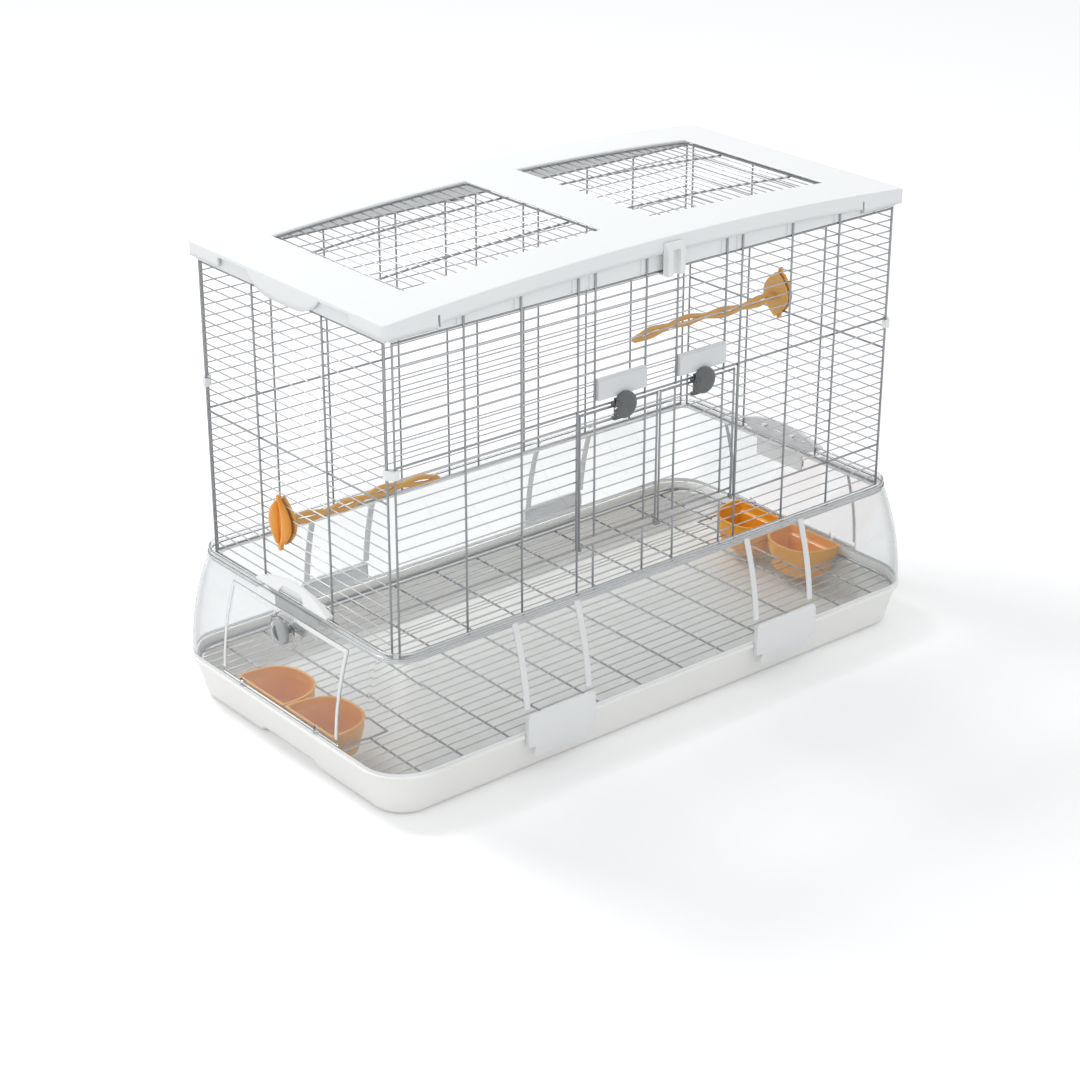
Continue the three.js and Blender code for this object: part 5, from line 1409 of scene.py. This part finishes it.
@dataclass
class Perch:
    """A perch on the -X wall, pointing +X from y = 0 at the wall."""

    length: float = 222.0
    strand: float = 3.1
    swing: float = 3.6
    side: float = 1.1
    sag: float = 14.0
    sway: float = 15.0
    droop: tuple[float, ...] = (0, 0.28, 0.43, 0.43, 0.36, 0.43, 0.64, 1.0)  # shares of the sag
    drift: tuple[float, ...] = (0, 0.07, 0.2, 0.4, 0.6, 0.73, 0.87, 1.0)  # shares of the sway
    crossings: int = 4
    lens: Span = (20.0, 28.0)
    tip: float = 0.985
    inner: float = 1.85
    flange_thick: float = 5.0
    flange_dome: Span = (2.8, 2.0)  # where the dome starts, and its height
    neck: tuple[float, float, float, float] = (5.0, 5.4, -1.5, 2.3)  # half sizes, then its two ends
    nut_thick: float = 6.0
    nut_edge: float = 0.9
    nut_slot: float = 0.17
    stub: Span = (24.0, 32.0)
    stub_thick: float = 3.8

    def softened(self, values: Array, height: float) -> Array:
        """Values at eight even places drawn out to 150, times a height, with their bends rounded."""
        share = np.linspace(0, 1, 150)
        line = np.interp(share, np.linspace(0, 1, len(values)), values) * height
        window = np.hanning(19)
        padded = np.pad(line, 9, mode="reflect", reflect_type="odd")
        return np.convolve(padded, window / window.sum(), mode="valid")

    def strands(self) -> Shell:
        """Two wavy strands that cross: each swings by a sine to its own side of the line between them,
        which droops and runs aside, and each swells a little where they cross."""
        share = np.linspace(0, 1, 150)
        start = self.inner + self.flange_thick / 2
        x = start + (self.length - self.strand - start) * share
        y, z = self.softened(self.drift, self.sway), self.softened(self.droop, -self.sag)
        radius = self.strand * (0.86 + 0.14 * np.cos(share * 2 * self.crossings * np.pi) ** 2)
        radius[-3:] *= np.array([0.9, 0.7, 0.4])
        shell = Shell()
        for way in WAYS:
            wave = np.sin(share * self.crossings * np.pi) * way
            shell.tube(np.column_stack([x, y + wave * self.side, z + wave * self.swing]), radius, 14)
        return shell

    def flange(self) -> Shell:
        """A pointed oval plate with a domed face, against the inside of the wall.

        The outline's half width is the width times one less the square of the share of the height.
        Rows run from the edge inwards, and the face rises with the square root of the way in.
        """
        share = np.linspace(-self.tip, self.tip, 34)
        edge = np.column_stack([self.lens[0] * (1 - share**2), self.lens[1] * share])
        outline = np.concatenate([edge, edge[::-1] * [-1, 1]])
        start, dome = self.flange_dome
        rows = [np.column_stack([np.full(len(outline), self.inner), outline])]
        for t in (1.0, 0.985, 0.94, 0.85, 0.7, 0.5, 0.3, 0.12, 0.02):
            rise = self.inner + start + dome * math.sqrt(1 - t * t)
            rows.append(np.column_stack([np.full(len(outline), rise), outline * t]))
        return Shell().grid(np.stack(rows), around=True, caps=True)

    def build(self, name: str, place: Placing) -> Piece:
        """Strands, inner flange and neck."""
        shell = self.strands().join(self.flange())
        y, z, low, high = self.neck
        shell.prism(np.array([[-y, -z], [y, -z], [y, z], [-y, z]]), low, high, "x")
        return shell.moved(place).make(name, sharp=40)

    def nut(self, name: str, place: Placing) -> Piece:
        """The nut outside the wall: two bulged halves with a deep pointed slot between them, and stubs.

        Across, a half rises from the slot's edge and falls again to the outline with a low power of
        s(1 - s), where s runs from the slot's edge to the outline. The slot's half width and the
        outline's both shrink with one less the square of the share of the height.
        """
        half = np.concatenate([np.linspace(0, 0.16, 5), np.linspace(0.18, 0.97, 14), [1.0]])
        across = np.concatenate([-half[::-1], half[1:]])
        v, u = np.meshgrid(np.linspace(-self.tip, self.tip, 41), across, indexing="ij")
        wide = self.lens[0] * (1 - v**2)
        y, z = u * wide, v * self.lens[1]
        slot = self.nut_slot * wide
        s = np.clip((np.abs(y) - slot) / np.maximum(wide - slot, 1e-6), 0, 1)
        full = (self.nut_thick - 1.2) * (4 * s * (1 - s)) ** 0.38 * np.clip(wide / 6, 0.15, 1)
        front = np.dstack([self.inner + self.nut_edge + full, y, z])
        back = np.dstack([np.full_like(y, self.inner), y * 0.97, z])[:, ::-1]
        shell = Shell().grid(np.concatenate([front, back], axis=1), around=True, caps=True)
        for way in WAYS:
            low, high = (way * v for v in self.stub)
            side = np.array([[2.8, low], [2.2, high - way], [1.2, high]])
            stub = np.concatenate([side[:1] * [-1, 1], side, side[:0:-1] * [-1, 1]])
            shell.prism(stub, self.inner, self.inner + self.stub_thick, "x")
        return shell.moved(Facing(-1)).moved(place).make(name, sharp=50)


KNOB_FACE = (  # share of the radius, and how far under the face's top, from the edge in
    (0.985, 2.3), (0.95, 1.7), (0.88, 1.1), (0.78, 0.65), (0.66, 0.3), (0.62, 0.24), (0.58, 0.2),
    (0.5, 0.12), (0.3, 0.03), (0.12, 0.0), (0.03, 0.0),
)


def apart(angle: Array, centre: float) -> Array:
    """How far angles lie from one in degrees, the shorter way round."""
    return np.abs((angle - math.radians(centre) + np.pi) % (2 * np.pi) - np.pi)


@dataclass
class Knob:
    """A turn knob facing -Y round the origin: notched disc, hub, lug and stub."""

    radius: float = 15.0
    back: float = -7.35
    thick: float = 6.6
    lug: tuple[float, float, float, float] = (18.0, 3.5, -5.3, -3.8)  # reach, half width, two faces
    hub: float = 4.5
    hub_end: float = -3.8
    stub: float = 2.0
    stub_end: float = -1.8
    root: float = 0.5
    notch_at: float = 165.0
    notch_half: Span = (14.0, 24.0)  # degrees from its middle: where it is full, and where it ends
    notch_share: float = 0.22
    notch_run: Span = (0.62, 0.8)  # shares of the radius between which the notch deepens
    well: float = 0.0
    well_at: float = 205.0
    well_share: float = 0.575
    well_wall: Span = (0.585, 0.63)
    well_sides: Span = (1.42, 1.58)

    def disc(self) -> Shell:
        """The disc: a turned profile with a domed face, whose radius drops in a notch at one side.

        With a well, the half of the face on that side falls to a floor inside three fifths of the
        radius.
        """
        cos, sin = circle(1.0, 96).T
        angle = np.arange(96) * 2 * np.pi / 96
        low, high = (math.radians(v) for v in self.notch_half)
        notch = self.notch_share * (1 - smooth(apart(angle, self.notch_at), low, high))
        half = 1 - smooth(apart(angle, self.well_at), *self.well_sides)
        edge = [(0.60, 0.0), (0.93, 0.0), (0.98, 0.25), (1.0, 0.8), (1.0, self.thick - 3.0)]
        rows = []
        for share, up in (*edge, *((share, self.thick - under) for share, under in KNOB_FACE)):
            well = self.well * half * (1 - smooth(share, *self.well_wall)) * (up > 1)
            r = self.radius * share * (1 - notch * smooth(share, *self.notch_run))
            rows.append(np.column_stack([r * cos, self.back - up + well, r * sin]))
        return Shell().grid(np.stack(rows), around=True, caps=True)

    def floor(self, name: str, place: Placing) -> Piece:
        """A dark half-moon plate on the well's floor: painted shade in the well."""
        rim = arc(self.radius * self.well_share, self.well_at - 90, self.well_at + 90, 25)
        level = self.back - self.thick + self.well
        return Shell().prism(rim, level - 0.5, level + 0.1, "y").moved(place).make(name, sharp=35)

    def build(self, name: str, place: Placing) -> Piece:
        """Disc, hub, lug and stub."""
        shell = self.disc()
        shell.prism(circle(self.hub, 32), self.back - self.root, self.hub_end, "y")
        shell.prism(circle(self.stub, 32), self.back - self.root, self.stub_end, "y")
        reach, half, low, high = self.lug
        nose = arc(half, -90, 90, 9) + [reach - half, 0]
        shell.prism(np.concatenate([[[0, -half]], nose, [[0, half]]]), low, high, "y")
        return shell.moved(place).make(name, sharp=35)


@dataclass
class BaseClip:
    """A frosted base clip on the front, x from its middle: plate, side ribs, hinge bar and hook."""

    half: float = 46.5
    top: float = 78.0
    foot: float = 24.0
    face: float = 212.0
    skin: float = 2.4
    toe: float = 13.0
    toe_in: float = 2.8
    notch: Span = (10.0, 15.0)
    notch_ease: Span = (0.8, 0.6)
    middle: float = 57.0
    round_top: float = 6.0
    round_foot: float = 3.0
    axis: Span = (-208.2, 74.6)
    bar: float = 1.6
    rib_in: float = 1.4
    rib_half: float = 1.1
    rib: tuple[Span, ...] = ((-206.3, 41.0), (-206.3, 75.0))
    rib_root: Span = (40.0, 76.0)
    hook: tuple[Span, ...] = ((-205.4, 27.3), (-205.4, 29.0), (-206.2, 29.7))
    hook_root: Span = (26.7, 29.7)
    hook_half: float = 26.5

    def plate(self) -> Shell:
        """The plate: rings of front and back points, one for each height.

        Its half width is full, less the notch near the foot, and its corners are quarter circles. The
        face falls back towards the foot in a straight toe.
        """
        r, f = self.round_top, self.round_foot
        step = self.foot + self.notch[1]
        side, up = self.notch_ease
        cos, sin = arc(1.0, 0, 90, 7).T
        narrow = self.half - self.notch[0]
        low = np.column_stack([self.foot + f * (1 - cos), narrow - f + f * sin])
        mid = [[self.foot + self.toe, narrow], [step - up / 2, narrow], [step, self.half - side]]
        full = [[step + up, self.half], [self.middle, self.half]]
        high = np.column_stack([self.top - r + r * sin, self.half - r + r * cos])
        z, wide = np.concatenate([low, mid, full, high]).T
        back = self.toe_in * np.clip(1 - (z - self.foot) / self.toe, 0, 1)
        across = wide[:, None] * np.linspace(-1, 1, 9)
        front = levelled(across, (back - self.face)[:, None], z)
        rear = (front + [0, self.skin, 0])[:, ::-1]
        return Shell().grid(np.concatenate([front, rear], axis=1), around=True, caps=True)

    def build(self, name: str, place: Place) -> Piece:
        """Plate, ribs, bar and hook."""
        shell = self.plate()
        inner = self.skin - self.face
        (foot, head), (low, high) = self.rib_root, self.hook_root
        for x in (self.rib_in - self.half, self.half - self.rib_in):
            rib = np.array([[inner, foot], *self.rib, [inner, head]])
            shell.prism(rib, x - self.rib_half, x + self.rib_half, "x")
        shell.wire((2 - self.half, *self.axis), (self.half - 2, *self.axis), self.bar, 14)
        hook = np.array([[inner - 0.2, low], *self.hook, [inner - 0.2, high]])
        shell.prism(hook, -self.hook_half, self.hook_half, "x")
        obj = shell.moved(place).make(name, sharp=35)
        bevel(obj, 0.7, 3, 50)
        return obj


FLAP_KNOB = Knob(
    radius=14.0, back=-0.3, lug=(22.0, 3.5, 14.0, 16.2), hub_end=14.2, stub=4.3, stub_end=16.2, well=4.4
)


# Assemblies


class Cage:
    """Builds and dresses every piece in order."""

    knob_rise: float = 154.0
    cup_at: float = 45.9

    def __init__(self) -> None:
        """Keeps the names of the nodes that are done."""
        self.done: set[str] = set()

    def put(self, obj: Piece, body: str, slot: Slot, finish: Finish, *nodes: str) -> None:
        """Dresses a piece, puts it on its body and lets it stand for its CAD nodes."""
        obj.data.materials.clear()
        obj.data.materials.append(finish.material())
        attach(obj, body)
        if nodes:
            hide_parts(*nodes)
        self.done.update(nodes)
        log.info("%s on %s: %d faces", obj.name, body, len(obj.data.polygons))

    def put_wires(self, pair: Pair, body: str, node: str) -> None:
        """Heavy and fine wires that stand for one node."""
        self.put(pair[0], body, Slot.WIRE, WIRE, node)
        self.put(pair[1], body, Slot.WIRE, FINE_WIRE)

    def copy(self, node: str, body: str, slot: Slot, finish: Finish, width: float) -> None:
        """A CAD node's shape with eased edges."""
        self.put(eased_copy(node, f"{node}_moulding", width), body, slot, finish, node)

    def tray_and_guard(self) -> None:
        """Tray, guard, shelf and flaps."""
        self.put(Tray().build(), "cage", Slot.TRAY, IVORY, "base_tray")
        guard, flap = Guard(), Flap()
        self.put(guard.build(), "cage", Slot.CLEAR, CLEAR, "debris_guard")
        # the shelf, ribs and foot band are clear; their whiter finish is painted reflection
        for piece in (guard.shelf, guard.ribs, guard.foot):
            self.put(piece(), "cage", Slot.CLEAR, FROSTED_AND_SHEEN)
        self.put(guard.eyes(), "cage", Slot.CLEAR, CLEAR)
        for side, way in SIDES:
            place, body = Place(turn=Turn.FRONT if way > 0 else Turn.BACK), f"flap_{side}"
            sheet = flap.build(f"flap_sheet_{side}", place)
            self.put(sheet, body, Slot.CLEAR, CLEAR, f"side_flap_{side}")
            # the frame's whiter finish is a painted highlight along the flap's edges
            self.put(flap.frame_strip(f"flap_frame_{side}", place), body, Slot.CLEAR, FROSTED_AND_SHEEN)
            self.put(flap.hinge(f"flap_bar_{side}", place), body, Slot.CLEAR, CLEAR)

    def wires(self) -> None:
        """Walls, doors and grilles."""
        s = SIZES
        both = [v * way for v in s.uprights for way in WAYS]
        front, back = Place(y=-s.front_plane), Place(y=s.front_plane, turn=Turn.BACK)
        left, right = Place(x=-s.side_plane, turn=Turn.LEFT), Place(x=s.side_plane, turn=Turn.RIGHT)
        walls = {
            "front": (s.front_half, front, both, (s.sill_row, s.head_row), True, True),
            "back": (s.front_half, back, both, (s.mid_row,), False, True),
            "left": (s.side_half, left, s.side_uprights, (s.mid_row,)),
            "right": (s.side_half, right, s.side_uprights, (s.mid_row,)),
        }
        for name, sizes in walls.items():
            self.put_wires(WireWall(f"{name}_wires", *sizes).build(), "cage", f"wall_{name}")
        for name, way in SIDES:
            place = replace(front, x=way * s.door_at, z=s.row(s.sill_row))
            door = Door().build(f"door_wires_{name}", place)
            self.put_wires(door, f"door_{name}", f"front_door_{name}")
        self.put_wires(FloorGrille().build(), "cage", "floor_grille")

    def roof(self) -> None:
        """Roof frame, grilles and the clips that hold it."""
        roof = Roof()
        for piece, nodes in zip(roof.build(), (("roof_frame",), (), ())):
            self.put(piece, "cage", Slot.ROOF, ROOF_WHITE, *nodes)
        for name, way in SIDES:
            self.put_wires(roof.grille(way, f"roof_wires_{name}"), "cage", f"roof_grille_{name}")
        for row, _ in ROWS:
            self.copy(f"roof_clip_{row}", "cage", Slot.ROOF, CLIP_WHITE, 0.5)

    def latches(self, name: str, way: int) -> None:
        """One side's turn knobs, with the latch base and keepers that they work with."""
        s, flap = SIZES, Flap()
        place = Place(x=way * s.door_at, y=-s.front_plane, z=s.row(s.sill_row) + self.knob_rise)
        knob = Knob().build(f"door_turn_{name}", place)
        self.put(knob, f"doorknob_{name}", Slot.LATCH, KNOB_GREY, f"door_knob_{name}")
        turn, body = Turn.RIGHT if way > 0 else Turn.LEFT, f"flapknob_{name}"
        place = Place(x=way * flap.seat_face, z=flap.seat_height, turn=turn)
        knob = FLAP_KNOB.build(f"flap_turn_{name}", place)
        # the ring's lighter grey is painted reflection; the dark plate on the well's floor is painted
        # shade
        self.put(knob, body, Slot.LATCH, SHEEN_RING_GREY, f"flap_knob_{name}")
        self.put(FLAP_KNOB.floor(f"flap_turn_well_shade_{name}", place), body, Slot.LATCH, KNOB_GREY)
        self.copy(f"latch_base_{name}", f"door_{name}", Slot.LATCH, KNOB_GREY, 0.35)
        self.copy(f"front_keeper_{name}", "cage", Slot.ROOF, KEEPER_WHITE, 0.9)
        self.copy(f"side_keeper_{name}", "cage", Slot.ROOF, CLIP_WHITE, 0.7)

    def corner(self, name: str, way: int, row: str, side: int) -> None:
        """One corner's clips and cup."""
        self.copy(f"corner_clip_{row}_{name}", "cage", Slot.ROOF, CLIP_WHITE, 0.4)
        place = Place(x=way * SIZES.clip_at, turn=Turn.FRONT if side < 0 else Turn.BACK)
        clip = BaseClip().build(f"clip_plate_{row}_{name}", place)
        self.put(clip, f"clip_{row}_{name}", Slot.TRAY, FROSTED_AND_SHEEN, f"base_clip_{row}_{name}")
        place = Place(y=side * self.cup_at, turn=Turn.BACK if way < 0 else Turn.FRONT)
        cup = f"cup_{name}_{row}"
        self.put(Cup().build(cup, place), cup, Slot.CUP, CUP_AMBER, f"seed_cup_{name}_{row}")

    def fittings(self) -> None:
        """Latches, keepers, clips, cups and perches."""
        s, perch = SIZES, Perch()
        for name, way in SIDES:
            self.latches(name, way)
            for row, side in ROWS:
                self.corner(name, way, row, side)
        for name, way, y, index in (("left", 1, 27.0, 6.5), ("right", -1, 10.0, 14.5)):
            place = Facing(way, -way * s.side_plane, y, s.row(index))
            bar, nut = perch.build(f"perch_bar_{name}", place), perch.nut(f"perch_turn_{name}", place)
            for obj in (bar, nut):
                merge_doubles(obj.data)
            self.put(bar, "cage", Slot.PERCH, GOLDEN, f"perch_{name}")
            self.put(nut, f"nut_{name}", Slot.CUP, ORANGE, f"perch_nut_{name}")

    def build(self) -> None:
        """All pieces, then a check that no CAD node was forgotten."""
        self.tray_and_guard()
        self.wires()
        self.roof()
        self.fittings()
        left = set(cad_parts) - self.done
        if left:
            log.warning("not dressed: %s", sorted(left))


# Studio


@dataclass
class Studio:
    """Floor, lamps, world and the camera at the photograph's angle. Lengths here are in metres."""

    azimuth: float = -39.42
    elevation: float = 24.68
    distance: float = 2.8186
    lens: float = 82.0
    sensor: float = 36.0
    far: float = 50.0
    target: tuple[float, float, float] = (0.0, 0.0, 0.1745)
    shift_right: float = -0.0185
    shift_up: float = -0.0272
    lamp_aim: tuple[float, float, float] = (0.0, 0.0, 0.25)
    sky: Colour = (0.975, 0.99, 1.0)
    sky_strength: float = 0.82
    floor_half: float = 9.0
    floor_grey: float = 0.93
    floor_lift: float = 0.13

    def camera(self) -> None:
        """The camera from its angles: back points from the object to it, right lies level and up
        completes them."""
        az, el = math.radians(self.azimuth), math.radians(self.elevation)
        back = Vector((math.sin(az) * math.cos(el), -math.cos(az) * math.cos(el), math.sin(el)))
        right = Vector((math.cos(az), math.sin(az), 0))
        up = back.cross(right)
        data = bpy.data.cameras.new("photo view")
        data.lens = self.lens
        data.sensor_width = self.sensor
        data.clip_end = self.far
        cam = bpy.data.objects.new("photo view", data)
        matrix = Matrix((right, up, back)).transposed().to_4x4()
        aside = right * self.shift_right + up * self.shift_up
        matrix.translation = Vector(self.target) + back * self.distance + aside
        cam.matrix_world = matrix
        bpy.context.scene.collection.objects.link(cam)
        bpy.context.scene.camera = cam

    def lamp(self, name: str, place: tuple[float, float, float], size: float, power: float) -> None:
        """A soft square lamp that faces the cage's middle."""
        data = bpy.data.lights.new(name, "AREA")
        data.size = size
        data.energy = power
        obj = bpy.data.objects.new(name, data)
        obj.location = place
        aim = Vector(self.lamp_aim) - Vector(place)
        obj.rotation_euler = aim.to_track_quat("-Z", "Y").to_euler()
        bpy.context.scene.collection.objects.link(obj)

    def world(self) -> None:
        """A plain world: white to the eye and in gloss and glass, softer as light."""
        world = bpy.data.worlds.new("studio")
        bpy.context.scene.world = world
        world.use_nodes = True
        world.node_tree.nodes.clear()
        g = Graph(world.node_tree)
        light = g.node("ShaderNodeBackground", Color=self.sky, Strength=self.sky_strength)
        white = g.node("ShaderNodeBackground", Color=(1, 1, 1), Strength=1.0)
        seen = g.seen("Camera", "Transmission", "Glossy")
        g.node("ShaderNodeOutputWorld", Surface=g.shaders(seen, light.outputs[0], white.outputs[0]))

    def floor(self) -> None:
        """A pale floor that keeps the cage's shadow and is white where it is lit."""
        half = self.floor_half
        mesh = bpy.data.meshes.new("floor")
        corners = [(x * half, y * half, 0) for x, y in ((-1, -1), (1, -1), (1, 1), (-1, 1))]
        mesh.from_pydata(corners, [], [(0, 1, 2, 3)])
        obj = link_mesh("floor", mesh)
        made, g, out = new_material("floor white")
        matt = g.node("ShaderNodeBsdfDiffuse", Color=(self.floor_grey,) * 3)
        strength = g.math("MULTIPLY", g.seen("Camera", "Transmission"), self.floor_lift)
        both = g.node("ShaderNodeAddShader")
        g.put(matt.outputs[0], both.inputs[0])
        g.put(g.node("ShaderNodeEmission", Strength=strength).outputs[0], both.inputs[1])
        g.feed(out, Surface=both.outputs[0])
        mesh.materials.append(made)

    def build(self) -> None:
        """All of the studio."""
        self.camera()
        self.world()
        self.floor()
        self.lamp("key", (-0.75, 2.0, 2.9), 0.9, 44)
        self.lamp("fill", (-2.4, -2.6, 1.2), 2.4, 7)
        bpy.context.scene.view_settings.view_transform = "Standard"


def main() -> None:
    """Builds the studio and the cage."""
    logging.basicConfig(level=logging.INFO, format="%(name)s %(message)s")
    Studio().build()
    Cage().build()
    bpy.context.view_layer.update()


if __name__ == "__main__":
    main()
